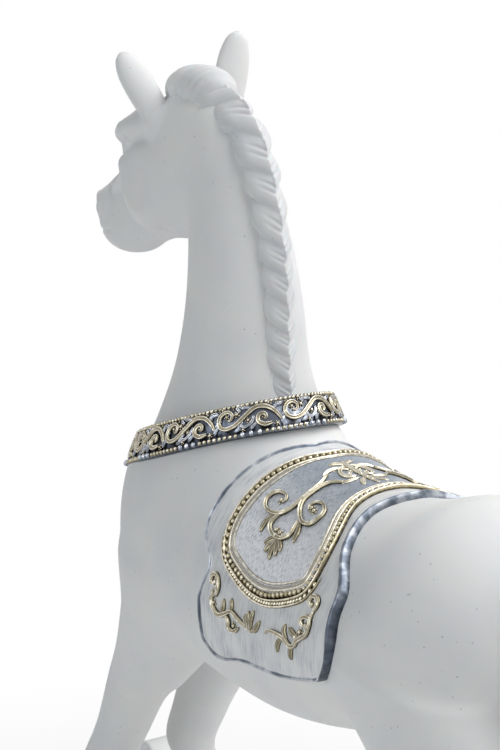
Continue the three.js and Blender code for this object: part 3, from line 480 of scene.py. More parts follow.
def ball(xyz, centre, radii, tilt=0.0):
    """Distance to a ball of three radii, pitched by tilt about the line across the horse."""
    x, y, z = (axis - at for axis, at in zip(xyz, centre))
    c, s = math.cos(tilt), math.sin(tilt)
    y, z = c * y + s * z, c * z - s * y
    a, b, h = radii
    near = np.sqrt((x / a) ** 2 + (y / b) ** 2 + (z / h) ** 2)
    steep = np.sqrt((x / a**2) ** 2 + (y / b**2) ** 2 + (z / h**2) ** 2)
    return near * (near - 1) / np.maximum(steep, 1e-6)


def cord_line(xyz, path):
    """Distance to a cord through points (x, y, z, radius)."""
    x, y, z = xyz
    whole = None
    for (ax, ay, az, ar), (bx, by, bz, br) in zip(path, path[1:]):
        run = np.array([bx - ax, by - ay, bz - az])
        t = ((x - ax) * run[0] + (y - ay) * run[1] + (z - az) * run[2]) / run.dot(run)
        t = np.clip(t, 0, 1)
        gap = np.sqrt((x - ax - t * run[0]) ** 2 + (y - ay - t * run[1]) ** 2 + (z - az - t * run[2]) ** 2)
        part = gap - (ar + t * (br - ar))
        whole = part if whole is None else np.minimum(whole, part)
    return whole


head_clay = Clay((-36, -160, 186), (36, -16, 324), HEAD_VOXEL, 5.0)
head_clay.join(head_clay.solid(*limb(NECK)), 1)
head_clay.join(head_clay.solid(*limb(HEAD)), 5)


def add_ball(side, centre, radii, tilt, fillet, cut=False):
    """Adds a ball of clay on one side of the head, or cuts its hollow."""
    middle = (side * centre[0], centre[1], centre[2])
    room = max(radii) + fillet + 1
    part, xyz = head_clay.near([m - room for m in middle], [m + room for m in middle])
    (head_clay.cut if cut else head_clay.join)(ball(xyz, middle, radii, tilt), fillet, part)


def add_cord(side, path, fillet, cut=False):
    """Adds a cord of clay on one side of the head, or cuts its groove."""
    path = [(side * x, y, z, r) for x, y, z, r in path]
    room = max(p[3] for p in path) + fillet + 1
    low, high = np.array(path)[:, :3].min(0) - room, np.array(path)[:, :3].max(0) + room
    part, xyz = head_clay.near(low, high)
    (head_clay.cut if cut else head_clay.join)(cord_line(xyz, path), fillet, part)


def add_coin(side, centre, radius, half_thickness, rounding, fillet):
    """A thick round disc that stands across the horse, its rim rounded."""
    middle = (side * centre[0], centre[1], centre[2])
    room = radius + fillet + 1
    part, (x, y, z) = head_clay.near([m - room for m in middle], [m + room for m in middle])
    reach = np.hypot(y - middle[1], z - middle[2]) - radius + rounding
    depth = np.abs(x - middle[0]) - half_thickness + rounding
    outside = np.hypot(np.maximum(reach, 0), np.maximum(depth, 0))
    head_clay.join(outside + np.minimum(np.maximum(reach, depth), 0) - rounding, fillet, part)


for side in (1, -1):
    # jowl, brow, cheek bone and its crest, flare of the nostril
    add_coin(side, (8, -103.5, 284.3), 16.8, 8.8, 7.8, 1.6)
    add_ball(side, (8, -91, 286), (7.6, 13, 17), 0.2, 3)
    add_ball(side, (11.4, -98.5, 307), (5.8, 5.6, 5), 0.0, 4)
    add_ball(side, (8.5, -112, 303.4), (6.2, 16, 6.8), 0.4, 3)
    add_ball(side, (9.4, -117.5, 290.5), (4.2, 9.4, 4.4), 0.7, 2.5)
    add_cord(side, [(10.4, -120, 289.5, 1.9), (8.4, -130, 284, 1.5), (7.6, -137, 280.6, 1)], 3.5)
    add_ball(side, (6.4, -146, 273.2), (3.6, 5.2, 4.8), 0.5, 3)
    # hollow round the eye, the eye, its lids and the fold of the brow
    add_ball(side, (14.6, -119.6, 297), (4.2, 6.6, 3.7), 0.35, 2, cut=True)
    add_ball(side, (10.4, -118, 297), (3.3, 4, 3.4), 0.3, 0.5)
    upper = [(12.4, -113, 296.4, 0.7), (13.4, -114.9, 299, 1.05), (13.2, -118, 300.4, 1.25),
             (12.2, -121, 299.6, 1.05), (10.9, -123, 296.4, 0.7)]
    lower = [(12.4, -113, 296.2, 0.7), (13.2, -115.5, 294.1, 0.8), (12.7, -118.7, 293.2, 0.85),
             (11.6, -121.5, 294.4, 0.75), (10.9, -123.2, 296, 0.7)]
    add_cord(side, [(12.2, -108, 304.4, 1.2), (13.2, -114, 304.2, 1.9), (12.8, -120, 302.8, 2.2),
                    (11.2, -124.6, 301, 2.1), (7.4, -127, 300.2, 1.6)], 3.4)
    add_ball(side, (9.8, -122.6, 290.4), (3, 4.4, 2.8), 0.4, 2)
    add_cord(side, upper, 0.9)
    add_cord(side, lower, 0.9)
    # nostril and its rim
    add_ball(side, (9.6, -148.8, 273.2), (2.8, 1.7, 2.5), 0.5, 0.8, cut=True)
    add_cord(side, [(8.0, -146.6, 270.2, 0.7), (9.3, -145.8, 272.8, 1), (9.0, -146.8, 275.6, 1),
                    (7.6, -149.2, 276.4, 0.9), (6.4, -151, 274.6, 0.7)], 1)
    # mouth from the front of the lips to its corner, and the lip below
    add_cord(side, [(0, -154.8, 264.4, 0.6), (5.2, -153, 263.4, 0.65), (8.4, -147, 262.6, 0.65),
                    (9.0, -140, 263.8, 1.0)], 0.8, cut=True)
    # hollow below the cheek where the jowl meets the throat
    add_cord(side, [(13.5, -84, 268, 1.2), (14.5, -92, 262, 1.2)], 2.5, cut=True)

_, (x, y, z) = head_clay.near((-400, -400, -400), (400, 400, 400))
head_clay.cut(above_seam(y, z) - 0.5 + 0 * x, 0.1)
head_points, head_faces = head_clay.skin()
head = mesh_piece("neck_and_head_casting", head_points, head_faces, white_resin, soften=4)
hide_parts("neck_and_head")
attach(head, "root")

# Ears
# Leaf-shaped and hollow in front, cast in one with the head; the left one leans out and its hollow faces
# forwards and outwards, the right one stands straighter.

EARS = {
    "left": {"root": (12, -97, 309), "tip": (22, -104, 330), "facing": (0.12, -1, 0)},
    "right": {"root": (-13.6, -92.8, 310), "tip": (-18, -91.5, 337), "facing": (-0.25, -1, 0)},
}
ear_width = fair_line([(-0.2, 5.2), (0, 5.4), (0.33, 6.0), (0.65, 5.7), (0.85, 4.4), (0.95, 2.8), (1, 0.7)])
ear_hollow = fair_line([(-0.2, 0), (0.04, 0), (0.22, 0.75), (0.5, 1), (0.85, 0.8), (1, 0.3)])
for side_name, ear in EARS.items():
    root, tip = np.array(ear["root"], float), np.array(ear["tip"], float)
    axis = tip - root
    facing = np.array(ear["facing"], float)
    facing -= axis * facing.dot(axis) / axis.dot(axis)
    facing /= np.linalg.norm(facing)
    across = np.cross(axis, facing)
    across /= np.linalg.norm(across)
    turn = np.radians(np.linspace(-118, 118, 40))
    rings = []
    for share in np.concatenate([np.linspace(-0.25, 0.9, 44), 1 - 0.1 * np.linspace(1, 0, 14)[1:] ** 1.6]):
        width = float(ear_width(share))
        wall = min(1.25, 0.42 * width)
        open_by = float(ear_hollow(share))
        back_side = np.stack([np.sin(turn) * width, -np.cos(turn) * 0.62 * width], -1)
        inner_width, inner_depth = width - wall, (0.62 * width - wall)
        deep = -np.cos(turn) * (inner_depth * open_by - 0.45 * width * (1 - open_by))
        front_side = np.stack([np.sin(turn) * inner_width, deep], -1)[::-1]
        section = np.concatenate([back_side, front_side])
        rings.append(root + axis * share + section[:, :1] * across + section[:, 1:] * facing)
    ear_points, ear_faces = lofted(rings)
    piece = mesh_piece(f"{side_name}_ear_casting", ear_points, ear_faces, white_resin, soften=3)
    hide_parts(f"{side_name}_ear")
    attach(piece, "root")

# Mane
# A plait along the crest, modelled in the clay original as alternating locks: each starts broad at the
# outer edge, crosses the ridge downwards and tucks in under the next. It ends under the collar.

CREST = [
    (-109, 312.5, 1.1), (-98, 317.2, 1.3), (-86, 318.2, 1.42), (-75, 316, 1.44), (-63.4, 311.6, 1.42),
    (-53.8, 304.4, 1.36), (-47.5, 295, 1.26), (-42.5, 284, 1.14), (-38.8, 272, 1.02), (-36.2, 260, 0.92),
    (-35, 248, 0.86), (-34.4, 236, 0.82), (-33.2, 219, 0.8),
]
CREST_END = len(CREST) - 1
LOCK_PITCH = 5.15
HOOD_START = 0.45
HOOD_END = 3.3
HOOD_HALF_WIDTH = 6.3
HOOD_RISE = 5.4
crest_y, crest_z, crest_size = [fair_line(list(enumerate(column))) for column in zip(*CREST)]


def on_crest(at, x, out):
    """A point beside the crest's station, across and outwards from it and scaled to its size, and the
    outward direction there."""
    size = float(crest_size(at))
    near = min(max(at, 0.1), CREST_END - 0.1)
    dy = float(crest_y(near + 0.1) - crest_y(near - 0.1))
    dz = float(crest_z(near + 0.1) - crest_z(near - 0.1))
    along = np.array([0, dy, dz]) / math.hypot(dy, dz)
    outwards = np.array([0, -along[2], along[1]])
    middle = np.array([0, float(crest_y(at)), float(crest_z(at))])
    return middle + size * (np.array([x, 0, 0]) + out * outwards), outwards


def unit(vectors):
    """The same directions with a length of 1."""
    return vectors / np.maximum(np.linalg.norm(vectors, axis=-1, keepdims=True), 1e-9)


def joined(parts):
    """Several closed shapes as one list of points and faces."""
    points, faces, offset = [], [], 0
    for part_points, part_faces in parts:
        points.append(part_points)
        faces.append(part_faces + offset)
        offset += len(part_points)
    return np.concatenate(points), np.concatenate(faces)


crest_at = np.linspace(0, CREST_END, 200)
crest_line = np.stack([crest_y(crest_at), crest_z(crest_at)], -1)
crest_steps = np.linalg.norm(np.diff(crest_line, axis=0), axis=1) / crest_size(np.linspace(0, CREST_END, 199))
crest_length = np.concatenate([[0], np.cumsum(crest_steps)])
# Half the plait's section for a crest size of 1, as (across, outwards) from its ridge round the side to the
# middle below. The two faces meet in a ridge like a roof, and each face carries its own row of locks.
HALF_SECTION = [
    (0, 3.7), (1.2, 2.8), (2.7, 1.4), (4.1, -0.1), (4.8, -1.9), (4.3, -3.1), (2.5, -3.5), (0, -3.6),
]
SIDE_AT = 4.0
half = np.linspace(0, len(HALF_SECTION) - 1, 85)
across, outwards = [fair_line(list(enumerate(column)))(half) for column in zip(*HALF_SECTION)]
facing = unit(np.stack([-np.gradient(outwards), np.gradient(across)], -1))
facing = unit(facing + np.array([0, 2.0]) * np.exp(-((half / 0.4) ** 2))[:, None])
to_side = np.clip(half / SIDE_AT, 0, 1)
section = np.concatenate([np.stack([across, outwards], -1), np.stack([-across, outwards], -1)[-2:0:-1]])
facing = np.concatenate([facing, (facing * (-1, 1))[-2:0:-1]])
to_side = np.concatenate([to_side, to_side[-2:0:-1]])
half_turn = np.concatenate([np.zeros(len(half)), np.full(len(half) - 2, 0.5)])


def lock_relief(phase, slant):
    """How far the locks stand out of the plait's section, each overlapping the next one below it."""
    share = (phase + half_turn - slant * (1 - to_side) ** 0.75) % 1
    shingle = (1 - (1 - share) ** 2.4) * (1 - share**9)
    near_ridge = np.exp(-((to_side / 0.5) ** 2))
    strands = np.exp(-(((share - 0.3) / 0.05) ** 2)) + 0.8 * np.exp(-(((share - 0.52) / 0.05) ** 2))
    return shingle * (1.6 + 0.35 * to_side**3 - 0.4 * near_ridge) - 0.7 * strands * near_ridge


plait = []
for run in np.linspace(0, crest_length[-1], 460):
    at = float(np.interp(run, crest_length, crest_at))
    if at < HOOD_END - 1.0:
        continue
    phase = run / (2 * LOCK_PITCH)
    relief = lock_relief(phase + 0.05 * math.sin(2.3 * phase), 0.34 + 0.3 * min(at / 8, 1))
    placed = section * 0.97 + facing * (relief * (1 + 0.08 * math.sin(5.1 * phase)))[:, None]
    foot, away = on_crest(at, 0, 0)
    size = 0.93 * (float(crest_size(at)) / 0.93) ** 0.6
    plait.append(foot + size * (placed[:, :1] * np.array([1.0, 0, 0]) + placed[:, 1:] * away))
# The first lock lies over the poll like a hood, combed straight down on both sides.
hood_at = np.linspace(HOOD_START, HOOD_END, 64)
hood_share = np.linspace(0, 1, 64)
hood_swell = np.sqrt(np.clip(1 - np.abs(2 * hood_share - 1) ** 4, 0.02, 1))
hood_swell *= 1 - 0.07 * np.exp(-(((hood_share - 0.46) / 0.035) ** 2))
turn = np.linspace(0, 2 * np.pi, 72, endpoint=False)
hood = []
for at, swell in zip(hood_at, hood_swell):
    combed = swell * (1 + 0.03 * math.sin(21 * at))
    hood.append([
        on_crest(
            at + 0.1 * math.cos(a), HOOD_HALF_WIDTH * combed * math.sin(a),
            combed * (0.1 + HOOD_RISE * math.cos(a)),
        )[0]
        for a in turn
    ])
mane_clay = Clay((-14, -122, 214), (14, -22, 330), 0.3, 1.2)
mane_clay.join(mane_clay.solid(*joined([lofted(plait), lofted(hood)])), 0.3)
# The mane gets a darker copy of the resin: painted shade, so the plait looks a shade darker than the smooth
# body.
resin_darkened_as_shade = cast_resin("white_polyester_resin_darkened_as_painted_shade", "DADCDF", "E5E6E6")
mane = mesh_piece("plaited_mane", *mane_clay.skin(), resin_darkened_as_shade, soften=1)
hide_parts("braided_mane")
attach(mane, "root")

# Tail
# A thick hanging tail of three locks twisted together, cast apart and glued into the croup.

TAIL = [
    (92, 191, 5.5), (103, 194.5, 7), (113.5, 188, 8.4), (120, 171, 9.5), (121.5, 148, 9.8), (121, 126, 9),
    (123, 106, 7), (127.5, 92, 3.6), (131, 85, 0.8),
]
at = np.linspace(0, len(TAIL) - 1, 180)
tail_y, tail_z, tail_radius = [fair_line(list(enumerate(column)))(at) for column in zip(*TAIL)]
middle = np.stack([0 * at, tail_y, tail_z], -1)
along = unit(np.gradient(middle, axis=0))
behind = np.cross(along, [1.0, 0, 0])
turn = np.linspace(0, 2 * np.pi, 180, endpoint=False)[None, :]
twist = 1.1 * at[:, None]
lobes = 1 + 0.17 * np.cos(3 * turn + twist)
strands = 1 - 0.045 * np.abs(np.sin(10.5 * turn + 3.5 * twist + 0.5 * np.sin(2 * at[:, None]))) ** 3
radius = tail_radius[:, None] * lobes * strands
rings = middle[:, None] + behind[:, None] * (0.85 * radius * np.sin(turn))[:, :, None]
rings[:, :, 0] += radius * np.cos(turn)
tail = mesh_piece("tail_casting", *lofted(rings), white_resin)
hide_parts("tail")
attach(tail, "root")

# Rockers
# Two curved rails with a carved volute at each end and a short flat below the middle, joined by two
# crossbars. They are cast in the same white resin, and their edges are rounded by the mould.

RAIL_THICKNESS = 14.0
VOLUTE_AT = 164.0
VOLUTE_RADIUS = 9.5
CROSSBAR_AT = 86.0
CROSSBAR_HEIGHT = 8.0
CROSSBAR_WIDTH = 18.0


def bar(path, upwards, height, thickness, roundness=7):
    """A bar of rounded rectangular section along a path; upwards is the section's own up at each point."""
    turn = np.linspace(0, 2 * np.pi, 64, endpoint=False)
    c, s = square_round(turn, roundness)
    along = unit(np.gradient(path, axis=0))
    across = np.cross(along, upwards)
    rings = (
        path[:, None]
        + across[:, None] * (thickness / 2 * c)[None, :, None]
        + upwards[:, None] * (height / 2 * s)[None, :, None]
    )
    return lofted(rings)


rail_y = np.linspace(-VOLUTE_AT, VOLUTE_AT, 181)
tops = np.array([np.concatenate([[0], rail_top(y)[0]]) for y in rail_y])
normals = np.array([np.concatenate([[0], rail_top(y)[1]]) for y in rail_y])
rail_parts = [bar(tops - normals * RAIL_HEIGHT / 2, normals, RAIL_HEIGHT, RAIL_THICKNESS)]
half = RAIL_THICKNESS / 2
face = [(0.0, half - 1.6), (VOLUTE_RADIUS - 4.2, half - 1.8), (VOLUTE_RADIUS - 3.4, half - 0.5),
        (VOLUTE_RADIUS - 2.8, half), (VOLUTE_RADIUS - 1, half), (VOLUTE_RADIUS - 0.2, half - 0.5),
        (VOLUTE_RADIUS, half - 1.3)]
outline = [(r, h) for r, h in face] + [(r, -h) for r, h in face[::-1]]
turn = np.linspace(0, 2 * np.pi, 97)[:-1]
for end in (1, -1):
    hub = np.array([0, end * VOLUTE_AT, float(rail_under(VOLUTE_AT)) + VOLUTE_RADIUS])
    rings = [
        hub + np.stack([0 * turn + h, r * np.cos(turn), r * np.sin(turn)], -1) for r, h in outline[1:-1]
    ]
    rail_parts.append(lofted(rings))
    for face_side in (1, -1):
        run = np.linspace(0, 1, 70)
        angle = end * (1.5 * np.pi - 4.2 * np.pi * run)
        reach = 5.8 * (1 - run) ** 0.8 + 0.6
        spiral = np.stack(
            [0 * run + face_side * (half - 1.6), end * reach * np.cos(angle) * -1, reach * np.sin(angle)], -1
        ) + hub
        swell = 0.55 + 0.75 * run
        section = np.linspace(0, 2 * np.pi, 12, endpoint=False)
        forward = unit(np.gradient(spiral, axis=0))
        sideways = np.cross(forward, [1.0, 0, 0])
        rings = (
            spiral[:, None]
            + sideways[:, None] * (swell[:, None] * np.cos(section))[:, :, None]
            + np.array([1.0, 0, 0]) * (swell[:, None] * np.sin(section))[:, :, None]
        )
        rail_parts.append(lofted(rings))
rail_points, rail_faces = joined(rail_parts)
for side_name, side in SIDES.items():
    placed = rail_points * (side, 1, 1) + (side * RAIL_X, 0, 0)
    rail = mesh_piece(f"{side_name}_rail", placed, rail_faces[:, ::side], white_resin)
    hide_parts(f"{side_name}_rocker")
    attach(rail, "root")
for end_name, end in (("front", -1), ("rear", 1)):
    point, normal = rail_top(end * CROSSBAR_AT)
    middle = np.concatenate([[0], point - normal * RAIL_HEIGHT / 2])
    upwards = np.concatenate([[0], normal])
    across = np.linspace(-RAIL_X + half - 1, RAIL_X - half + 1, 12)
    path = middle + across[:, None] * np.array([1.0, 0, 0])
    piece = mesh_piece(
        f"{end_name}_bar_between_rails",
        *bar(path, np.repeat(upwards[None], len(path), 0), CROSSBAR_HEIGHT, CROSSBAR_WIDTH, 5), white_resin
    )
    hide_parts(f"{end_name}_crossbar")
    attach(piece, "root")

# Saddle cloth
# The cloth is modelled on the horse's back in the clay original: it lies close to the skin, with a narrow
# rolled hem and a thicker welt along its rear edge. The field is brushed with pearl white lacquer and the
# hem with silver, and a dark wash was wiped over both; the dark line in the crease inside the hem and the
# dark band on the rear welt are partly that wash and partly painted shade.
# Everything that lies on the back is drawn flat as (y, s), where s is the distance round the skin from the
# spine, positive on the left, and is then laid on the body.

SKIN_STEP = 0.5
skin_y = np.arange(-45, 92.5, SKIN_STEP)
skin_angles = np.radians(np.arange(0, 151))
skin_points = torso_point(skin_y[:, None], skin_angles[None, :])
skin_girth = np.cumsum(np.linalg.norm(np.diff(skin_points, axis=1), axis=2), axis=1)
skin_girth = np.concatenate([np.zeros((len(skin_y), 1)), skin_girth], 1)
GIRTH_STEP = 0.5
girths = np.arange(0, 110, GIRTH_STEP)
angle_at_girth = np.stack([np.interp(girths, row, skin_angles) for row in skin_girth])


def on_body(y, s, lift):
    """The points that stand a given lift above the skin at (y, s)."""
    y, s, lift = np.broadcast_arrays(*[np.asarray(v, float) for v in (y, s, lift)])
    row = np.clip((y - skin_y[0]) / SKIN_STEP, 0, len(skin_y) - 1.001)
    column = np.clip(np.abs(s) / GIRTH_STEP, 0, len(girths) - 1.001)
    i, j = row.astype(int), column.astype(int)
    u, v = row - i, column - j
    low = angle_at_girth[i, j] * (1 - v) + angle_at_girth[i, j + 1] * v
    high = angle_at_girth[i + 1, j] * (1 - v) + angle_at_girth[i + 1, j + 1] * v
    angle = np.sign(s) * (low * (1 - u) + high * u)
    lengthwise = torso_point(y + 0.5, angle) - torso_point(y - 0.5, angle)
    sideways = torso_point(y, angle + 0.02) - torso_point(y, angle - 0.02)
    return torso_point(y, angle) - unit(np.cross(lengthwise, sideways)) * lift[..., None]


# The outline of a cloth: front and rear edges as y over the distance from the spine, and the distance
# down to the lower edge over the share of the way from front to rear.
BLANKET = {
    "front": fair_line(
        [(0, -16.4), (15, -21), (32, -23.7), (42, -23.6), (47, -21), (51.5, -15.6), (56, -15.6),
         (60, -17.4), (66, -18.8), (82, -18)]
    ),
    "rear": fair_line(
        [(0, 40), (14, 37.6), (30, 45), (44.5, 57), (52, 57), (64.5, 56), (71, 50.5), (76, 44)]
    ),
    "low": fair_line([(0, 78.5), (0.1, 81), (0.2, 79.5), (0.42, 73.6), (0.74, 72.2), (1, 71)]),
}
HEM_WIDTH = 1.5
WELT_WIDTH = 2.7
CLOTH_TOP = 2.1
CLOTH_FOOT = -0.8


def cloth_grid(cloth, inset, step):
    """Rows and columns of (y, s) over a cloth, closer together at its edges, and the way to each edge."""
    down = cloth["low"](0.5) - inset
    rows = int(2 * down / step)
    columns = int((cloth["rear"](down / 2) - cloth["front"](down / 2)) / step)
    v = np.linspace(-1, 1, rows)
    v = v + 0.06 * np.sin(np.pi * v)
    u = np.linspace(0, 1, columns)
    u = u - 0.07 * np.sin(2 * np.pi * u)
    u, v = np.meshgrid(u, v)
    s = v * (cloth["low"](u) - inset)
    front, rear = cloth["front"](np.abs(s)) + inset, cloth["rear"](np.abs(s)) - inset
    y = front + u * (rear - front)
    to_low = (cloth["low"](u) - inset) * (1 - np.abs(v))
    return y, s, y - front, rear - y, to_low


def closed_sheet(upper, lower):
    """Points and faces of a closed body between two grids of points."""
    rows, columns = upper.shape[:2]
    points = np.concatenate([upper.reshape(-1, 3), lower.reshape(-1, 3)])
    index = np.arange(rows * columns).reshape(rows, columns)
    quads = np.stack([index[:-1, :-1], index[:-1, 1:], index[1:, 1:], index[1:, :-1]], -1).reshape(-1, 4)
    edge = np.concatenate([index[0, :-1], index[:-1, -1], index[-1, :0:-1], index[:0:-1, 0]])
    after = np.roll(edge, -1)
    shift = rows * columns
    wall = np.stack([edge, edge + shift, after + shift, after], -1)
    return points, np.concatenate([quads, quads[:, ::-1] + shift, wall])


def mark(piece, name, values):
    """Keeps a few numbers for each point of a piece, for its material to read."""
    values = np.asarray(values, np.float32)
    kind = "FLOAT" if values.ndim == 1 else "FLOAT_VECTOR"
    layer = piece.data.attributes.new(name, kind, "POINT")
    layer.data.foreach_set("value" if values.ndim == 1 else "vector", values.reshape(-1))


# White lacquer over resin, wiped with a grey wash that stays in the brush marks; the silver of the hem is
# a bright metallic paint, dark blue-grey in its crease and along the rear welt, partly a wash and partly
# painted shade.
def lacquered_cloth():
    material = new_material("pearl_lacquer_brushed_with_silver_hem")
    flat = add_node(material, "Attribute", attribute_name="cloth_mm")
    edge = add_node(material, "Attribute", attribute_name="silver")
    darkening = add_node(material, "Attribute", attribute_name="darkening")
    brushed = add_node(material, "Mapping", {"Vector": (flat, "Vector"), "Scale": (1 / 0.8, 1 / 9, 1.0)})
    streaks = add_node(material, "TexNoise", {"Vector": (brushed, "Vector"), "Scale": 1.0, "Detail": 3.0})
    clouded = add_node(material, "TexNoise", {"Vector": (flat, "Vector"), "Scale": 1 / 9, "Detail": 4.0})
    both = add_node(material, "Math", {0: (streaks, "Fac"), 1: (clouded, "Fac")}, operation="ADD")
    half = add_node(material, "Math", {0: (both, "Value"), 1: 0.5}, operation="MULTIPLY")
    field = add_node(
        material, "ValToRGB", {"Fac": (half, "Value")},
        stops=[(0.34, "C2C7CD"), (0.45, "E1E3E6"), (0.58, "F2F3F3")],
    )
    place = add_node(material, "TexCoord")
    blots = add_node(material, "TexNoise", {"Vector": (place, "Object"), "Scale": 1000 / 3.6, "Detail": 2.0})
    uneven = add_node(material, "Math", {0: (blots, "Fac"), 1: 0.55, 2: 0.24}, operation="MULTIPLY_ADD")
    dim = add_node(material, "Math", {0: (darkening, "Fac"), 1: 0.45}, operation="MULTIPLY")
    hem_darkened = add_node(material, "Math", {0: (uneven, "Value"), 1: (dim, "Value")}, operation="SUBTRACT")
    hem = add_node(
        material, "ValToRGB", {"Fac": (hem_darkened, "Value")},
        stops=[(0.0, "3A414C"), (0.2, "626A76"), (0.42, "C0C4CA"), (0.62, "F0F1F3")],
    )
    frayed = add_node(material, "Math", {0: (clouded, "Fac"), 1: -0.5}, operation="ADD")
    shifted = add_node(
        material, "Math", {0: (frayed, "Value"), 1: 0.5, 2: (edge, "Fac")}, operation="MULTIPLY_ADD"
    )
    silver = add_node(
        material, "MapRange",
        {"Value": (shifted, "Value"), "From Min": 0.35, "From Max": 0.6, "To Min": 0.0, "To Max": 1.0},
    )
    base = add_node(
        material, "Mix", {0: (silver, "Result"), 6: (field, "Color"), 7: (hem, "Color")}, data_type="RGBA"
    )
    metal = add_node(material, "Math", {0: (silver, "Result"), 1: 0.75}, operation="MULTIPLY")
    rough = add_node(
        material, "MapRange",
        {"Value": (silver, "Result"), "From Min": 0.0, "From Max": 1.0, "To Min": 0.42, "To Max": 0.36},
    )
    bump = add_node(material, "Bump", {"Height": (streaks, "Fac"), "Strength": 0.2, "Distance": 0.0002})
    shader = add_node(
        material, "BsdfPrincipled",
        {
            "Base Color": (base, 2), "Metallic": (metal, "Value"), "Roughness": (rough, "Result"), "IOR": 1.5,
            "Normal": (bump, "Normal"),
        },
    )
    add_node(material, "OutputMaterial", {"Surface": (shader, "BSDF")})
    return material


y, s, to_front, to_rear, to_low = cloth_grid(BLANKET, 0, 0.7)
wander = 0.25 * np.sin(0.31 * s) * np.sin(0.23 * y + 0.6) + 0.12 * np.sin(0.83 * (s + y))
hem_way = np.minimum(to_front, to_low) * (1 + 0.3 * wander)
hem_line = fair_line(
    [(0, -1.1), (0.12, -0.1), (0.35, 0.5), (0.65, 0.68), (0.95, 0.5), (HEM_WIDTH, -0.2), (1.9, 0), (3, 0)]
)
welt_line = fair_line(
    [(0, -1.6), (0.25, 0.1), (0.8, 1.15), (1.6, 1.3), (2.2, 0.8), (WELT_WIDTH, 0.0), (4, 0)]
)
upper_flank = np.clip((np.abs(s) - 10) / 24, 0, 1)
rear_way = to_rear * (1 + 0.2 * wander) / (0.45 + 0.55 * upper_flank)
top_lift = CLOTH_TOP + np.maximum(hem_line(hem_way), -1.1)
welt = CLOTH_TOP + welt_line(rear_way) * (0.4 + 0.35 * upper_flank)
top_lift = np.where(rear_way < hem_way * 1.6, welt, top_lift)
upper = on_body(y, s, top_lift)
lower = on_body(y, s, CLOTH_FOOT)
cloth = mesh_piece("saddle_cloth", *closed_sheet(upper, lower), lacquered_cloth())


def twice(grid):
    """A grid's values for the upper and the lower side of a sheet."""
    return np.tile(grid.reshape(-1), 2)


mark(cloth, "cloth_mm", np.stack([twice(y), twice(s), 0 * twice(s)], -1))
silvered = np.maximum(1 - (hem_way / HEM_WIDTH) ** 3 * 0.5, 1 - (rear_way / (1.15 * WELT_WIDTH)) ** 6 * 0.5)
mark(cloth, "silver", twice(np.clip(silvered, 0, 1)))
# The dark line in the crease inside the hem's roll and the dark band along the rear welt, strongest low down:
# partly a dark wash, partly painted shade.
groove = np.exp(-(((hem_way - 1.15) / 0.42) ** 2)) * (0.75 + 0.35 * np.sin(0.19 * s + 1) * np.sin(0.27 * y))
low_welt = np.clip((np.abs(s) - 44) / 6, 0, 1) * np.clip((74 - np.abs(s)) / 5, 0, 1)
welt_darkening = 0.55 + 0.12 * np.exp(-(((np.abs(s) - 40) / 12) ** 2))
welt_darkening = welt_darkening + 0.4 * np.exp(-(((rear_way - 0.78 * WELT_WIDTH) / 0.3) ** 2))
welt_wash_and_painted_shade = np.where(rear_way < 0.9 * WELT_WIDTH, np.maximum(welt_darkening, 0.96 * low_welt), 0)
groove = np.where(rear_way < 1.2 * WELT_WIDTH, 0, groove)
mark(cloth, "darkening", twice(np.clip(np.maximum(groove, welt_wash_and_painted_shade), 0, 1)))
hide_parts("saddle_blanket")
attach(cloth, "root")

# Panel of the saddle cloth
# The raised field inside the moulding is silver paint, scratched with a wire brush, with painted glints in
# the scratches; it is darker and bluer towards the spine.

PANEL = {
    "front": fair_line([(0, -9), (15, -12), (29, -13.3), (41, -11.9), (47.7, -6.6), (50.5, 1.4)]),
    "rear": fair_line([(0, 28.2), (5, 27.9), (15, 30.1), (29, 38.6), (39, 41.2), (46, 39.3), (49, 32)]),
    "low": fair_line([(0, 48), (0.3, 51), (0.7, 50.8), (1, 47)]),
}
FRAME_HALF_WIDTH = 2.6
PANEL_TOP = 3.3
PANEL_FOOT = 1.2


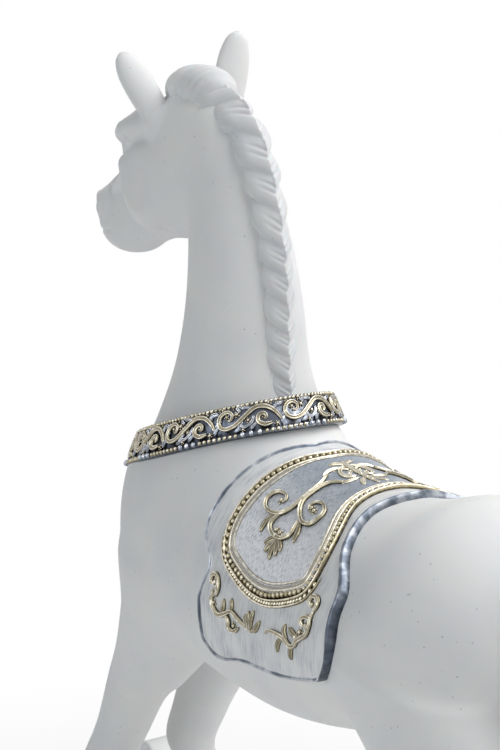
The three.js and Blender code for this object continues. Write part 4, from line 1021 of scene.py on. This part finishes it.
# Silver paint over resin, half dull, with fine scratches that run down the cloth: their colour rises to
# white in short streaks, painted glints, and the silver is darker and bluer towards the spine.
def brushed_silver():
    material = new_material("silver_paint_wire_brushed_with_painted_glints")
    flat = add_node(material, "Attribute", attribute_name="cloth_mm")
    parts = add_node(material, "SeparateXYZ", {"Vector": (flat, "Vector")})
    from_spine = add_node(material, "Math", {0: (parts, "Y")}, operation="ABSOLUTE")
    cloud = add_node(material, "TexNoise", {"Vector": (flat, "Vector"), "Scale": 1 / 7, "Detail": 4.0})
    spread = add_node(
        material, "Math", {0: (cloud, "Fac"), 1: 26.0, 2: (from_spine, "Value")}, operation="MULTIPLY_ADD"
    )
    darkening = add_node(material, "MapRange", {"Value": (spread, "Value"), "From Min": 20.0, "From Max": 50.0})
    tint = add_node(
        material, "ValToRGB", {"Fac": (darkening, "Result")},
        stops=[(0.0, "9AA2AD"), (0.4, "C0C5CB"), (1.0, "D8DADD")],
    )
    brushed = add_node(material, "Mapping", {"Vector": (flat, "Vector"), "Scale": (1 / 0.3, 1 / 1.5, 1.0)})
    scratch = add_node(material, "TexNoise", {"Vector": (brushed, "Vector"), "Scale": 1.0, "Detail": 5.0})
    # Painted glints: the scratch pattern lifts the colour to white in short streaks.
    scratches_and_painted_glints = add_node(
        material, "ValToRGB", {"Fac": (scratch, "Fac")},
        stops=[(0.36, "A0A6AF"), (0.5, "F2F3F5"), (0.62, "FFFFFF")],
    )
    base = add_node(
        material, "Mix", {0: 0.75, 6: (tint, "Color"), 7: (scratches_and_painted_glints, "Color")}, data_type="RGBA",
        blend_type="MULTIPLY",
    )
    bump = add_node(material, "Bump", {"Height": (scratch, "Fac"), "Strength": 0.5, "Distance": 0.0002})
    shader = add_node(
        material, "BsdfPrincipled",
        {"Base Color": (base, 2), "Metallic": 0.55, "Roughness": 0.5, "Normal": (bump, "Normal")},
    )
    add_node(material, "OutputMaterial", {"Surface": (shader, "BSDF")})
    return material


y, s, to_front, to_rear, to_low = cloth_grid(PANEL, FRAME_HALF_WIDTH, 0.8)
sheet = closed_sheet(on_body(y, s, PANEL_TOP), on_body(y, s, PANEL_FOOT))
field = mesh_piece("brushed_panel", *sheet, brushed_silver())
mark(field, "cloth_mm", np.stack([twice(y), twice(s), 0 * twice(s)], -1))
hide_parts("saddle_panel")
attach(field, "root")

# Moulding round the panel
# A raised border in champagne gold: a fine outer ridge, a row of beads in a dark groove and a fine inner
# ridge. Below, where the flap hangs, a row of small leaves and a thin rim run outside it.


def cloth_outline(cloth, inset, step):
    """A closed outline of a cloth as evenly spaced (y, s) with its corners eased, and the inward normal."""
    s = np.linspace(0, 1, 121) * (cloth["low"](0) - inset)
    front = np.stack([cloth["front"](s) + inset, s], -1)[:-1]
    share = np.linspace(0, 1, 121)
    low = cloth["low"](share) - inset
    ends = cloth["front"](low) + inset, cloth["rear"](low) - inset
    bottom = np.stack([ends[0] * (1 - share) + ends[1] * share, low], -1)[:-1]
    s = np.linspace(1, 0, 121) * (cloth["low"](1) - inset)
    rear = np.stack([cloth["rear"](s) - inset, s], -1)
    left = np.concatenate([front, bottom, rear])
    loop = np.concatenate([left, left[-2:0:-1] * (1, -1)])
    for _ in range(60):
        loop = (2 * loop + np.roll(loop, 1, 0) + np.roll(loop, -1, 0)) / 4
    closed = np.concatenate([loop, loop[:1]])
    run = np.concatenate([[0], np.cumsum(np.linalg.norm(np.diff(closed, axis=0), axis=1))])
    marks = np.linspace(0, run[-1], round(run[-1] / step) + 1)[:-1]
    even = np.stack([np.interp(marks, run, closed[:, c]) for c in range(2)], -1)
    forward = unit(np.roll(even, -1, 0) - np.roll(even, 1, 0))
    return even, np.stack([forward[:, 1], -forward[:, 0]], -1)


def looped(rings):
    """Points and faces of a closed ring of sections."""
    rings = np.asarray(rings, float)
    rows, count = rings.shape[:2]
    i = np.arange(rows)[:, None] * count
    after = (np.arange(rows)[:, None] + 1) % rows * count
    j = np.arange(count)[None, :]
    k = (j + 1) % count
    return rings.reshape(-1, 3), np.stack([i + j, i + k, after + k, after + j], -1).reshape(-1, 4)


# Metallic paint, gold or silver: a half dull metal. Its colour follows the relief, pale on the crests and
# dark in the hollows, so each ridge and bead is outlined: partly a paler coat dragged over the crests and a
# dark wash in the hollows, partly painted highlight and painted shade.
def metal_paint(name, crest, middle, hollow):
    material = new_material(name)
    relief = add_node(material, "Attribute", attribute_name="relief")
    place = add_node(material, "TexCoord")
    worn = add_node(material, "TexNoise", {"Vector": (place, "Object"), "Scale": 1000 / 1.6, "Detail": 3.0})
    shifted = add_node(
        material, "Math", {0: (worn, "Fac"), 1: 0.7, 2: (relief, "Fac")}, operation="MULTIPLY_ADD"
    )
    depth = add_node(material, "Math", {0: (shifted, "Value"), 1: 0.74}, operation="MULTIPLY")
    # Pale on the crests and dark in the hollows: partly dry-brushing and wash, partly painted highlight and
    # painted shade.
    base = add_node(
        material, "ValToRGB", {"Fac": (depth, "Value")},
        stops=[(0.28, hollow), (0.5, middle), (0.8, middle), (1.0, crest)],
    )
    bump = add_node(material, "Bump", {"Height": (worn, "Fac"), "Strength": 0.3, "Distance": 0.0001})
    shader = add_node(
        material, "BsdfPrincipled",
        {"Base Color": (base, "Color"), "Metallic": 0.9, "Roughness": 0.26, "Normal": (bump, "Normal")},
    )
    add_node(material, "OutputMaterial", {"Surface": (shader, "BSDF")})
    return material


# The moulding's gold is the darkest, and its grooves show as brown lines, partly a wash and partly painted
# shade.
gold = metal_paint("champagne_gold_paint_dry_brushed_with_painted_light", "E2DBCA", "8B8268", "2B2822")


def beads(place, u, v, lift, radii):
    """Points, faces and relief of small balls laid by place(u, v, lift), 8 sides by 5 rings."""
    polar = np.radians([14, 48, 82, 116, 160])
    turn = np.linspace(0, 2 * np.pi, 8, endpoint=False)
    template = [
        np.stack([np.sin(p) * np.cos(turn), np.sin(p) * np.sin(turn), 0 * turn + np.cos(p)], -1)
        for p in polar
    ]
    points, faces = lofted(template)
    u, v, lift, radii = np.broadcast_arrays(*[np.asarray(value, float) for value in (u, v, lift, radii)])
    places = place(u, v, lift)
    outwards = unit(place(u, v, lift + 0.1) - places)
    placed = places[:, None] + radii[:, None, None] * points[None]
    shift = np.arange(len(places))[:, None, None] * len(points)
    # Each bead gets a high relief on the side that faces away from the ground and a low one at its foot:
    # painted highlight on top and painted shade underneath.
    relief = np.clip(0.42 + 0.5 * outwards @ points.T, 0, 1)
    return placed.reshape(-1, 3), (faces[None] + shift).reshape(-1, 3), relief.reshape(-1)


def relief_piece(name, parts, material):
    """A piece from closed shapes, each (points, faces, relief)."""
    points, faces = joined([(p, f if f.shape[1] == 3 else in_triangles(f)) for p, f, _ in parts])
    piece = mesh_piece(name, points, faces, material)
    # The relief marks how high or how far outwards each point stands; metal_paint turns it into painted shade
    # low down and painted highlight on top.
    mark(piece, "relief", np.concatenate([np.broadcast_to(r, len(p)) for p, _, r in parts]))
    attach(piece, "root")
    return piece


FRAME_BASE = 2.0
BEAD_PITCH = 2.1
LEAF_ROW_OUT = 0.45
RIM_OUT = 1.35
frame_profile = np.array([
    (-FRAME_HALF_WIDTH, -0.6), (-FRAME_HALF_WIDTH, 0.7), (-2.45, 1.4), (-2.2, 1.7), (-1.95, 1.45),
    (-1.8, 0.7), (-0.9, 0.4), (0.1, 0.7), (0.25, 1.35), (0.55, 1.75), (0.85, 1.5), (1.0, 1.0), (1.05, -0.6),
])
line, inward = cloth_outline(PANEL, FRAME_HALF_WIDTH, 0.9)
flat = line[:, None] + inward[:, None] * frame_profile[None, :, :1]
high = FRAME_BASE + frame_profile[None, :, 1]
frame_points, frame_faces = looped(on_body(flat[..., 0], flat[..., 1], high))
frame_relief = np.tile(np.clip((frame_profile[:, 1] - 0.55) / 1.0, 0, 1), len(line))
line, inward = cloth_outline(PANEL, FRAME_HALF_WIDTH - 0.85, BEAD_PITCH)
bead = np.arange(len(line))
bead_sizes = 0.97 * (1 + 0.07 * np.sin(1.7 * bead) + 0.06 * np.sin(4.1 * bead))
bead_row = beads(on_body, line[:, 0], line[:, 1], FRAME_BASE + 0.95, bead_sizes)
frame_parts = [(frame_points, frame_faces, frame_relief), bead_row]
line, inward = cloth_outline(PANEL, FRAME_HALF_WIDTH, 1.35)
line = line - (FRAME_HALF_WIDTH + LEAF_ROW_OUT) * inward
hanging = np.abs(line[:, 1]) > 42
for (leaf_y, leaf_s), way in zip(line[hanging], inward[hanging]):
    run = np.linspace(-1, 1, 7)
    along = np.array([way[1], -way[0]]) * np.sign(leaf_s)
    lean = unit(along + 0.9 * -way)
    path = np.array([leaf_y, leaf_s]) + run[:, None] * lean * 0.85
    across = np.array([-lean[1], lean[0]])
    turn = np.linspace(0, 2 * np.pi, 8, endpoint=False)
    width = 0.62 * np.sqrt(1 - 0.9 * run**2)
    flat = path[:, None] + across * (width[:, None] * np.cos(turn))[:, :, None]
    lift = 2.2 + 0.95 * np.sqrt(1 - 0.9 * run**2)[:, None] * np.sin(turn)
    shape = lofted(on_body(flat[..., 0], flat[..., 1], lift))
    relief = np.clip(np.concatenate([lift.reshape(-1), [2, 2]]) - 1.9, 0, 1)
    frame_parts.append((*shape, relief))
rim_line, rim_inward = cloth_outline(PANEL, FRAME_HALF_WIDTH, 0.8)
rim_line = rim_line - (FRAME_HALF_WIDTH + RIM_OUT) * rim_inward
rim_turn = np.linspace(0, 2 * np.pi, 10, endpoint=False)
for side in (1, -1):
    held = side * rim_line[:, 1] > 41
    first = int(np.flatnonzero(held & ~np.roll(held, 1))[0])
    order = (first + np.arange(held.sum())) % len(held)
    fade = np.sqrt(np.clip(1 - np.abs(np.linspace(-1, 1, len(order))) ** 6, 0.05, 1))[:, None]
    wide = (0.42 * fade * np.cos(rim_turn))[:, :, None]
    flat = rim_line[order][:, None] + rim_inward[order][:, None] * wide
    lift = 2.2 + 0.9 * fade * np.sin(rim_turn)
    shape = lofted(on_body(flat[..., 0], flat[..., 1], lift))
    frame_parts.append((*shape, np.clip(np.concatenate([lift.reshape(-1), [2, 2]]) - 2.0, 0, 1)))
border = relief_piece("beaded_moulding", frame_parts, gold)
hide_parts("panel_frame")

# Inner ridges of the border
# Two low rolls inside the beaded moulding, brushed thinly with gold over the panel's silver, with a dark
# line between them; they draw together over the spine.

INNER_START = 0.95
inner_profile = np.array([
    (INNER_START, -0.6), (1.0, 0.9), (1.15, 1.4), (1.4, 1.6), (1.7, 1.45), (1.85, 1.0), (2.0, 1.0),
    (2.15, 1.5), (2.45, 1.75), (2.8, 1.65), (3.05, 1.35), (3.15, -0.2),
])
line, inward = cloth_outline(PANEL, FRAME_HALF_WIDTH, 0.9)
drawn = (0.45 + 0.55 * np.clip((np.abs(line[:, 1]) - 5) / 14, 0, 1))[:, None]
reach = INNER_START + (inner_profile[None, :, 0] - INNER_START) * drawn
flat = line[:, None] + inward[:, None] * reach[:, :, None]
high = FRAME_BASE + inner_profile[None, :, 1]
ridge_points, ridge_faces = looped(on_body(flat[..., 0], flat[..., 1], high))
ridge_relief = np.tile(np.clip((inner_profile[:, 1] - 0.9) / 0.9, 0, 1), len(line))
# Thin gold over silver: the ridges look grey and warm at once, and paler than the moulding. The dark line
# between them is partly a wash and partly painted shade.
ridge_paint = metal_paint("silver_and_gold_paint_over_dark_wash_and_painted_shade", "DAD6CB", "918C80", "24262A")
ridges = relief_piece("inner_ridges_of_the_border", [(ridge_points, ridge_faces, ridge_relief)], ridge_paint)
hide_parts("panel_frame")

# Scrolls on the saddle cloth
# Applied relief in the same gold: stems with a rolled edge that end in curls round a berry, leaves with a
# midrib, and clusters of beads. Each is drawn on the left and mirrored to the right.

PANEL_SCROLL = {
    "strokes": [
        [(4.6, 8), (7.6, 12.6), (8.5, 18), (8.3, 23.3), (6, 26.9), (2.1, 28.1), (-1.7, 27.8), (-3.9, 26),
         (-3.7, 23.4), (-1.9, 21.6), (1.4, 21.3), (3.1, 22.6), (2.6, 24)],
        [(12.6, 7.4), (9.8, 9.8), (9, 13), (9, 17.2), (9.4, 20.1), (11.5, 22.8), (14.7, 25), (18.4, 26.3),
         (22, 25.6), (22.9, 22.7), (21.9, 20.3), (18, 18.2), (14.6, 18.6), (13.8, 20.4), (15, 21.8)],
        [(6, 26.4), (5.2, 30.2), (6.3, 32.1), (9.3, 33.2), (12, 33.4), (14.4, 33), (16.8, 31.1), (16.2, 28.6),
         (14.8, 25)],
    ],
    "leaves": [
        [(3.1, 27.9), (2.6, 31.4), (3, 34.7)], [(15.6, 25.3), (18.8, 29.4), (20.3, 32.8)],
        [(12.1, 32.8), (12.4, 36.6), (14, 40)], [(11.4, 33.6), (9.4, 35), (8.1, 36.8)],
        [(12.8, 33.6), (15, 34.8), (17, 36.5)], [(11.9, 34.6), (10.4, 36.8), (10.2, 38.8)],
        [(12.6, 34.6), (14.6, 36.4), (15.8, 38.4)],
    ],
    "beads": [(1.6, 23.6), (15.4, 21), (17.6, 21.6), (11.8, 32.1), (9.4, 31.7), (10.6, 33.2)],
}


def both_sides(paths):
    """Each path and its mirror image across the spine."""
    return [[(u, side * v) for u, v in path] for path in paths for side in (1, -1)]


SPINE_ORNAMENT = {
    "strokes": [
        [(-1.6, 0), (9.5, 0), (20.6, 0)],
        *both_sides([
            [(2.4, 0.6), (5, 4), (8.8, 4.8), (11.4, 3), (9.8, 1.4)],
            [(4.2, 9.2), (2.8, 6.4), (3.2, 3.6), (5.6, 1.2)],
        ]),
    ],
    "leaves": both_sides([
        [(12.4, 0), (15.8, 2.6), (19.2, 4.2)],
        [(1.4, 0), (-0.4, 2), (-1, 4.4)],
        [(13, 2.2), (13, 5.2), (12.6, 8)],
    ]),
    "beads": [(14, 0), (10.4, 0), (16.8, 0), *sum(both_sides([[(7, 1.6), (8.6, 2.9), (3.2, 5.4)]]), [])],
}
FRONT_SCROLL = {
    "strokes": [
        [(-7.6, 59.4), (-7, 55.8), (-8.8, 53.6), (-11, 54.2), (-11.2, 56.4), (-9.6, 56.8)],
        [(-7.8, 58.8), (-9.8, 60.8), (-8.4, 63.2), (-5, 63.7), (-1.4, 61.7), (2, 59.8), (5.9, 60.4), (10, 61),
         (13.3, 61.7)],
        [(-1.6, 61.8), (0.8, 63), (1, 65), (3.9, 65), (6.4, 63)],
    ],
    "leaves": [
        [(13, 61.6), (10.6, 60.4), (9.4, 57.8)], [(13, 61.6), (13, 58.4), (13.8, 55.2)],
        [(13, 61.6), (15.8, 60.2), (17.8, 57.2)], [(-4.6, 63.4), (-3, 60.8), (-3.2, 58)],
        [(12.6, 61.8), (11.2, 59), (11.2, 56.2)], [(0.6, 60.6), (1.6, 58.4), (0.8, 56.2)],
    ],
    "beads": [(-9.4, 55.8), (-8.6, 61.8), (-9.6, 59.2), (3.6, 63.4)],
}
REAR_SCROLL = {
    "strokes": [
        [(45.7, 50.9), (46.9, 48.6), (45.2, 46.8), (43, 46.6), (42, 48), (43, 49.4)],
        [(45.7, 50.5), (44.9, 52.7), (45, 54.6), (43.9, 57.2), (40.9, 58.5), (39, 59.4), (37.4, 60.9),
         (34.9, 61), (32, 59.4), (28, 58.7), (23.7, 58.6), (21, 60)],
        [(44.9, 52.9), (41.8, 52.4), (40, 53.6), (41.6, 55.2)],
    ],
    "leaves": [
        [(30.6, 59.4), (28.6, 61.4), (28, 64.2)], [(39.8, 59), (36.8, 57.8), (34, 56.2)],
        [(36.6, 60.8), (35.4, 62.8), (35.6, 65.4)], [(33.4, 60), (31.6, 57.6), (31.8, 55.4)],
    ],
    "beads": [(43.9, 48.9), (42.9, 54.8), (40.2, 56.8), (38, 58.4)],
}
STEM_WIDTH = 0.78
STEM_HEIGHT = 1.5
# The section of a stem: two rolled edges with a flute between them; of a leaf: a midrib and a thin edge.
stem_profile = np.array([
    (-1, -0.5), (-1, 0.3), (-0.72, 0.95), (-0.4, 0.8), (0, 0.42), (0.4, 0.8), (0.72, 0.95), (1, 0.3),
    (1, -0.5),
])
leaf_profile = np.array([
    (-1, -0.5), (-1, 0.2), (-0.75, 0.75), (-0.3, 0.4), (0, 0.95), (0.3, 0.4), (0.75, 0.75), (1, 0.2),
    (1, -0.5),
])


def smooth_path(points, count):
    """Evenly shared points on a smooth curve through a few."""
    at = np.linspace(0, len(points) - 1, count)
    return np.stack([fair_line(list(enumerate(column)))(at) for column in zip(*points)], -1)


def stroke(place, base, path, profile, width, height, taper):
    """One stem or leaf laid by place(u, v, lift) along a path; taper gives its width over its length."""
    rough = smooth_path(path, 12 * len(path))
    run = np.concatenate([[0], np.cumsum(np.linalg.norm(np.diff(rough, axis=0), axis=1))])
    share = np.linspace(0, 1, max(8, int(run[-1] / 0.55)))
    line = np.stack([np.interp(share * run[-1], run, rough[:, c]) for c in range(2)], -1)
    forward = unit(np.gradient(line, axis=0))
    across = np.stack([-forward[:, 1], forward[:, 0]], -1)
    swell = taper(share)
    flat = line[:, None] + across[:, None] * (swell[:, None] * width * profile[None, :, 0])[:, :, None]
    lift = base + profile[None, :, 1] * height * np.sqrt(swell)[:, None]
    points, faces = lofted(place(flat[..., 0], flat[..., 1], lift))
    relief = np.concatenate([np.tile(np.clip(profile[:, 1] / 0.65 - 0.45, 0, 1), len(line)), [0.5, 0.5]])
    return points, faces, relief


def stem_taper(share):
    return np.sqrt(np.clip(0.16 + 5 * share * (1 - share), 0, 1)) * (1 - 0.25 * share)


def leaf_taper(share):
    return np.sqrt(np.clip(np.sin(np.pi * (0.07 + 0.9 * share**1.3)), 0, 1))


def berry(place, base, u, v, radius):
    """A bead among smaller ones."""
    turn = np.linspace(0, 2 * np.pi, 6)[:-1]
    big = beads(place, np.array([u]), v, base + 0.55 * radius, radius)
    small = beads(
        place, u + 1.25 * radius * np.cos(turn), v + 1.25 * radius * np.sin(turn), base + 0.2 * radius,
        0.48 * radius,
    )
    return [big, small]


def ornament(place, base, drawing, side=1, high=1.0):
    """All strokes, leaves and beads of one drawing."""
    parts = []
    laid = lambda u, v, lift: place(u, side * v, lift)
    for path in drawing["strokes"]:
        parts.append(stroke(laid, base, path, stem_profile, STEM_WIDTH, STEM_HEIGHT * high, stem_taper))
    for path in drawing["leaves"]:
        parts.append(stroke(laid, base, path, leaf_profile, 0.95, 1.3 * high, leaf_taper))
    for u, v in drawing["beads"]:
        parts += berry(laid, base, u, v, 0.8 * high)
    return parts


# A thin gold over silver; each stem is pale on its two rolled edges, partly the silver showing through and
# partly painted highlight, so that each stem has two pale lines.
scroll_gold = metal_paint("champagne_gold_paint_over_silver_with_painted_light", "EEEADF", "979079", "35322B")
for side_name, side in SIDES.items():
    for drawing, base, node in (
        (PANEL_SCROLL, PANEL_TOP - 0.1, "panel_scroll"),
        (FRONT_SCROLL, 2.0, "front_scroll"),
        (REAR_SCROLL, 2.0, "rear_scroll"),
    ):
        shapes = ornament(on_body, base, drawing, side)
        piece = relief_piece(f"{side_name}_{node}_relief", shapes, scroll_gold)
        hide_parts(f"{side_name}_{node}")
# The ornament on the spine gets a paler, almost white copy of the gold: painted highlight where the top of
# the back catches the light.
bright_gold = metal_paint("champagne_gold_paint_lightened_as_painted_highlight", "F8F5EC", "CDC5AF", "5A5446")
piece = relief_piece(
    "spine_ornament_relief", ornament(on_body, PANEL_TOP - 0.1, SPINE_ORNAMENT, high=0.65), bright_gold
)
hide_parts("spine_ornament")

# Collar
# A conical band round the foot of the neck that hides the seam between the two castings. Its ground is
# antiqued silver. S scrolls and berries in champagne gold and finer curls and leaves in silver lie on it,
# between rows of beads.

COLLAR_LOWER = {"middle": (0, -65.9, 195.3), "half_width": 34.5, "half_length": 44.6}
COLLAR_UPPER = {"middle": (0, -65.2, 207), "half_width": 30.5, "half_length": 38.5}
COLLAR_SLOPE = 0.36


def collar_oval(oval, angle):
    forward = oval["half_length"] * np.cos(angle)
    return np.array(oval["middle"]) + np.stack(
        [oval["half_width"] * np.sin(angle), forward, COLLAR_SLOPE * forward], -1
    )


oval_turn = np.linspace(-np.pi, np.pi, 1441)
oval_line = (collar_oval(COLLAR_LOWER, oval_turn) + collar_oval(COLLAR_UPPER, oval_turn)) / 2
oval_run = np.concatenate([[0], np.cumsum(np.linalg.norm(np.diff(oval_line, axis=0), axis=1))])
COLLAR_LENGTH = float(oval_run[-1])
oval_run -= COLLAR_LENGTH / 2


def on_collar(u, up, lift):
    """A point of the band: u millimetres round it from the back, a share up it and a lift above it."""
    u, up, lift = np.broadcast_arrays(*[np.asarray(v, float) for v in (u, up, lift)])
    wrapped = (u + COLLAR_LENGTH / 2) % COLLAR_LENGTH - COLLAR_LENGTH / 2
    angle = np.interp(wrapped, oval_run, oval_turn)
    low, high = collar_oval(COLLAR_LOWER, angle), collar_oval(COLLAR_UPPER, angle)
    tangent = collar_oval(COLLAR_LOWER, angle + 0.01) - collar_oval(COLLAR_LOWER, angle - 0.01)
    out = unit(np.cross(high - low, tangent))
    return low + (high - low) * up[..., None] + out * lift[..., None]


COLLAR_HEIGHT = float(np.linalg.norm(on_collar(0, 1, 0) - on_collar(0, 0, 0)))


def over_collar(u, v, lift):
    return on_collar(u, np.asarray(v, float) / COLLAR_HEIGHT, lift)


around_collar = np.linspace(0, COLLAR_LENGTH, 361)[:-1]
band_profile = np.array([
    (0, -5), (0, 0.3), (0.02, 0.55), (0.06, 0.45), (0.11, 0.4), (0.14, 0), (0.3, 0.15), (0.5, 0.25),
    (0.7, 0.15), (0.84, 0), (0.88, 0.3), (0.93, 0.35), (0.975, 0.6), (1, 0.3), (1, -5),
])
rings = on_collar(around_collar[:, None], band_profile[None, :, 0], band_profile[None, :, 1])
band_points, band_faces = looped(rings)
# Silver with a blue-black wash left in the ground, so that the relief stands out from a dark field.
antique = metal_paint("antiqued_silver_paint_wiped", "CDD1D7", "5A606B", "20242B")
# Round the back of the neck more of the silver was left on the ground.
bare = 0.6 * np.exp(-(((around_collar + COLLAR_LENGTH / 2) % COLLAR_LENGTH - COLLAR_LENGTH / 2) / 17) ** 2)
band_relief = np.clip(band_profile[None, :, 1] * 0.8, 0.14, 1) + bare[:, None]
band = relief_piece("collar_ground", [(band_points, band_faces, band_relief.reshape(-1))], antique)
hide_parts("collar_band")

# One repeat of the frieze is drawn flat: millimetres along it, and up from the band's lower edge.
REPEATS = 11
DRAWN_LENGTH = 22
repeat_length = COLLAR_LENGTH / REPEATS
FRIEZE = {
    "stems": [
        [(0.4, 3.6), (2.2, 6.6), (5, 8.7), (8.6, 8.9), (12.2, 6.6), (15.6, 4.1), (18.8, 3.5), (20.9, 5.2),
         (20.5, 7.9), (18.2, 9.0), (16.4, 7.9), (16.8, 6.2), (18.3, 6.1)],
        [(3.4, 3.2), (5.8, 2.8), (7.9, 4.1), (7.7, 6.1), (5.9, 6.6), (5.2, 5.2), (6.2, 4.6)],
    ],
    "thin_stems": [
        [(9.2, 6.6), (10.0, 4.4), (12.2, 3.1), (13.6, 3.9), (12.8, 5.0)],
        [(13.4, 8.2), (14.6, 9.7), (12.2, 10.1), (10.9, 9.2)],
        [(21.2, 8.4), (22.6, 9.3), (24.0, 8.6), (23.8, 7.3)],
    ],
    "leaves": [
        [(9.8, 8.4), (11.4, 9.6), (13.6, 9.4)], [(3.2, 7.4), (1.6, 8.8), (-0.6, 8.9)],
        [(14.6, 5.0), (14.2, 3.0), (15.8, 2.2)], [(20.8, 5.0), (22.2, 3.6), (22.4, 2.2)],
        [(1.0, 5.0), (-0.6, 5.6), (-1.6, 7.0)], [(8.2, 4.2), (9.6, 3.2), (10.4, 2.0)],
    ],
    "berries": [
        (14.9, 7.7, 0.72), (18.4, 7.4, 0.6), (11.2, 5.2, 0.62), (2.1, 2.6, 0.6), (6.5, 5.4, 0.42),
        (19.9, 9.9, 0.5), (4.0, 9.9, 0.5), (13.0, 2.4, 0.5),
    ],
}
collar_parts, silver_parts = [], []
for i in range(REPEATS):
    start = (i + 0.3) * repeat_length
    put = lambda path: [(start + u * repeat_length / DRAWN_LENGTH, v) for u, v in path]
    for path in FRIEZE["stems"]:
        collar_parts.append(stroke(over_collar, 0.2, put(path), stem_profile, 0.86, 1.5, stem_taper))
    for path in FRIEZE["thin_stems"]:
        silver_parts.append(stroke(over_collar, 0.2, put(path), stem_profile, 0.5, 1.1, stem_taper))
    for path in FRIEZE["leaves"]:
        silver_parts.append(stroke(over_collar, 0.2, put(path), leaf_profile, 0.72, 1.1, leaf_taper))
    for u, v, radius in FRIEZE["berries"]:
        (bu, bv), = put([(u, v)])
        collar_parts += berry(over_collar, 0.3, bu, bv, radius)
COLLAR_BEAD_PITCH = 1.62
count = round(COLLAR_LENGTH / COLLAR_BEAD_PITCH)
index = np.arange(count)
for up, lift, radius in ((0.945, 0.75, 0.72), (0.865, 0.4, 0.4)):
    sizes = radius * (1 + 0.12 * np.sin(2.7 * index) * np.sin(1.1 * index))
    collar_parts.append(beads(on_collar, index * COLLAR_LENGTH / count, up, lift, sizes))
# The lower row changes between small gold beads and larger silver ones. A repeat would hold 12.6 small ones.
SMALL_IN_REPEAT = 12.6
repeat = np.arange(REPEATS)[:, None]
fine = ((repeat + np.arange(8) / SMALL_IN_REPEAT) * repeat_length).reshape(-1)
coarse = ((repeat + (8.3 + 1.5 * np.arange(3)) / SMALL_IN_REPEAT) * repeat_length).reshape(-1)
collar_parts.append(beads(on_collar, fine, 0.06, 0.75, 0.76))
silver_parts.append(beads(on_collar, coarse, 0.06, 0.85, 1.0))
# Gold worn by handling: duller and greyer than that of the saddle cloth.
collar_gold = metal_paint("champagne_gold_paint_rubbed_dull", "E8E4D8", "98907A", "3B3831")
collar_relief = relief_piece("collar_scrolls_and_beads", collar_parts, collar_gold)
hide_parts("collar_band")
# Bright silver with a dark wash: the leaves and large beads are nearly white on top beside near-black
# hollows, partly dry-brushing and wash, partly painted highlight and painted shade.
silver = metal_paint("bright_silver_paint_dry_brushed_with_painted_light", "F4F5F7", "8F959F", "2B303A")
collar_leaves = relief_piece("collar_leaves_and_large_beads", silver_parts, silver)
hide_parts("collar_band")

# Studio
# A white paper sweep under four soft windows of light: a cool one on the left, two above and high on the
# right, and a weak one behind on the right. The paper shows pure white and keeps the figurine's shadow.


def sees_white(material):
    """1 for the rays that show the studio as plain white: to the camera, in a gloss and through glass."""
    path = add_node(material, "LightPath")
    seen = add_node(
        material, "Math", {0: (path, "Is Camera Ray"), 1: (path, "Is Glossy Ray")}, operation="MAXIMUM"
    )
    return add_node(
        material, "Math", {0: (seen, "Value"), 1: (path, "Is Transmission Ray")}, operation="MAXIMUM"
    )


# Matt white paper. Away from the figurine it shows as pure white, and near it the paper itself is seen, with
# the soft shadow of the horse.
def paper(name):
    material = new_material(name)
    sheet = add_node(material, "BsdfPrincipled", {"Base Color": colour("F2F2F2"), "Roughness": 0.9})
    glow = add_node(material, "Emission", {"Color": (1, 1, 1, 1), "Strength": 1.0})
    also = sees_white(material)
    place = add_node(material, "TexCoord")
    middle = add_node(material, "Mapping", {"Vector": (place, "Object"), "Scale": (1 / 0.22, 1 / 0.3, 1.0)})
    away = add_node(material, "VectorMath", {0: (middle, "Vector")}, operation="LENGTH")
    clear = add_node(
        material, "MapRange",
        {"Value": (away, "Value"), "From Min": 0.7, "From Max": 1.25, "To Min": 0.8, "To Max": 1.0},
        interpolation_type="SMOOTHSTEP",
    )
    white = add_node(material, "Math", {0: (also, "Value"), 1: (clear, "Result")}, operation="MULTIPLY")
    shown = add_node(material, "MixShader", {0: (white, "Value"), 1: (sheet, "BSDF"), 2: (glow, "Emission")})
    add_node(material, "OutputMaterial", {"Surface": (shown, "Shader")})
    return material


floor = mesh_piece(
    "paper_sweep",
    np.array([(-3000, -3000, 0), (3000, -3000, 0), (3000, 3000, 0), (-3000, 3000, 0)], float),
    np.array([[0, 1, 2, 3]]),
    paper("white_paper_matt"),
    smooth=False,
)

world = bpy.data.worlds.new("studio_surround")
world.use_nodes = True
world.node_tree.nodes.clear()
surround = add_node(world, "Background", {"Color": colour("F6FAFF"), "Strength": 0.06})
bright = add_node(world, "Background", {"Color": (1, 1, 1, 1), "Strength": 1.0})
also = sees_white(world)
shown = add_node(
    world, "MixShader", {0: (also, "Value"), 1: (surround, "Background"), 2: (bright, "Background")}
)
add_node(world, "OutputWorld", {"Surface": (shown, "Shader")})
bpy.context.scene.world = world

AIMED_AT = Vector((0, 0, 0.2))
for name, place, width, power, tint in (
    ("window_right", (-0.8, 1.0, 0.6), 0.8, 2.7, "FFFFFF"),
    ("window_left", (1.3, 0.1, 0.6), 0.8, 4.6, "F7FCFF"),
    ("window_above", (-0.3, 0.55, 1.15), 0.9, 6.7, "FFFFFF"),
    ("window_high_right", (-0.71, -0.01, 1.2), 0.8, 7.0, "FFFFFF"),
):
    lamp = bpy.data.lights.new(name, "AREA")
    lamp.shape = "SQUARE"
    lamp.size = width
    lamp.energy = power
    lamp.color = colour(tint)[:3]
    holder = bpy.data.objects.new(name, lamp)
    holder.location = place
    holder.rotation_euler = (AIMED_AT - Vector(place)).to_track_quat("-Z", "Y").to_euler()
    bpy.context.collection.objects.link(holder)
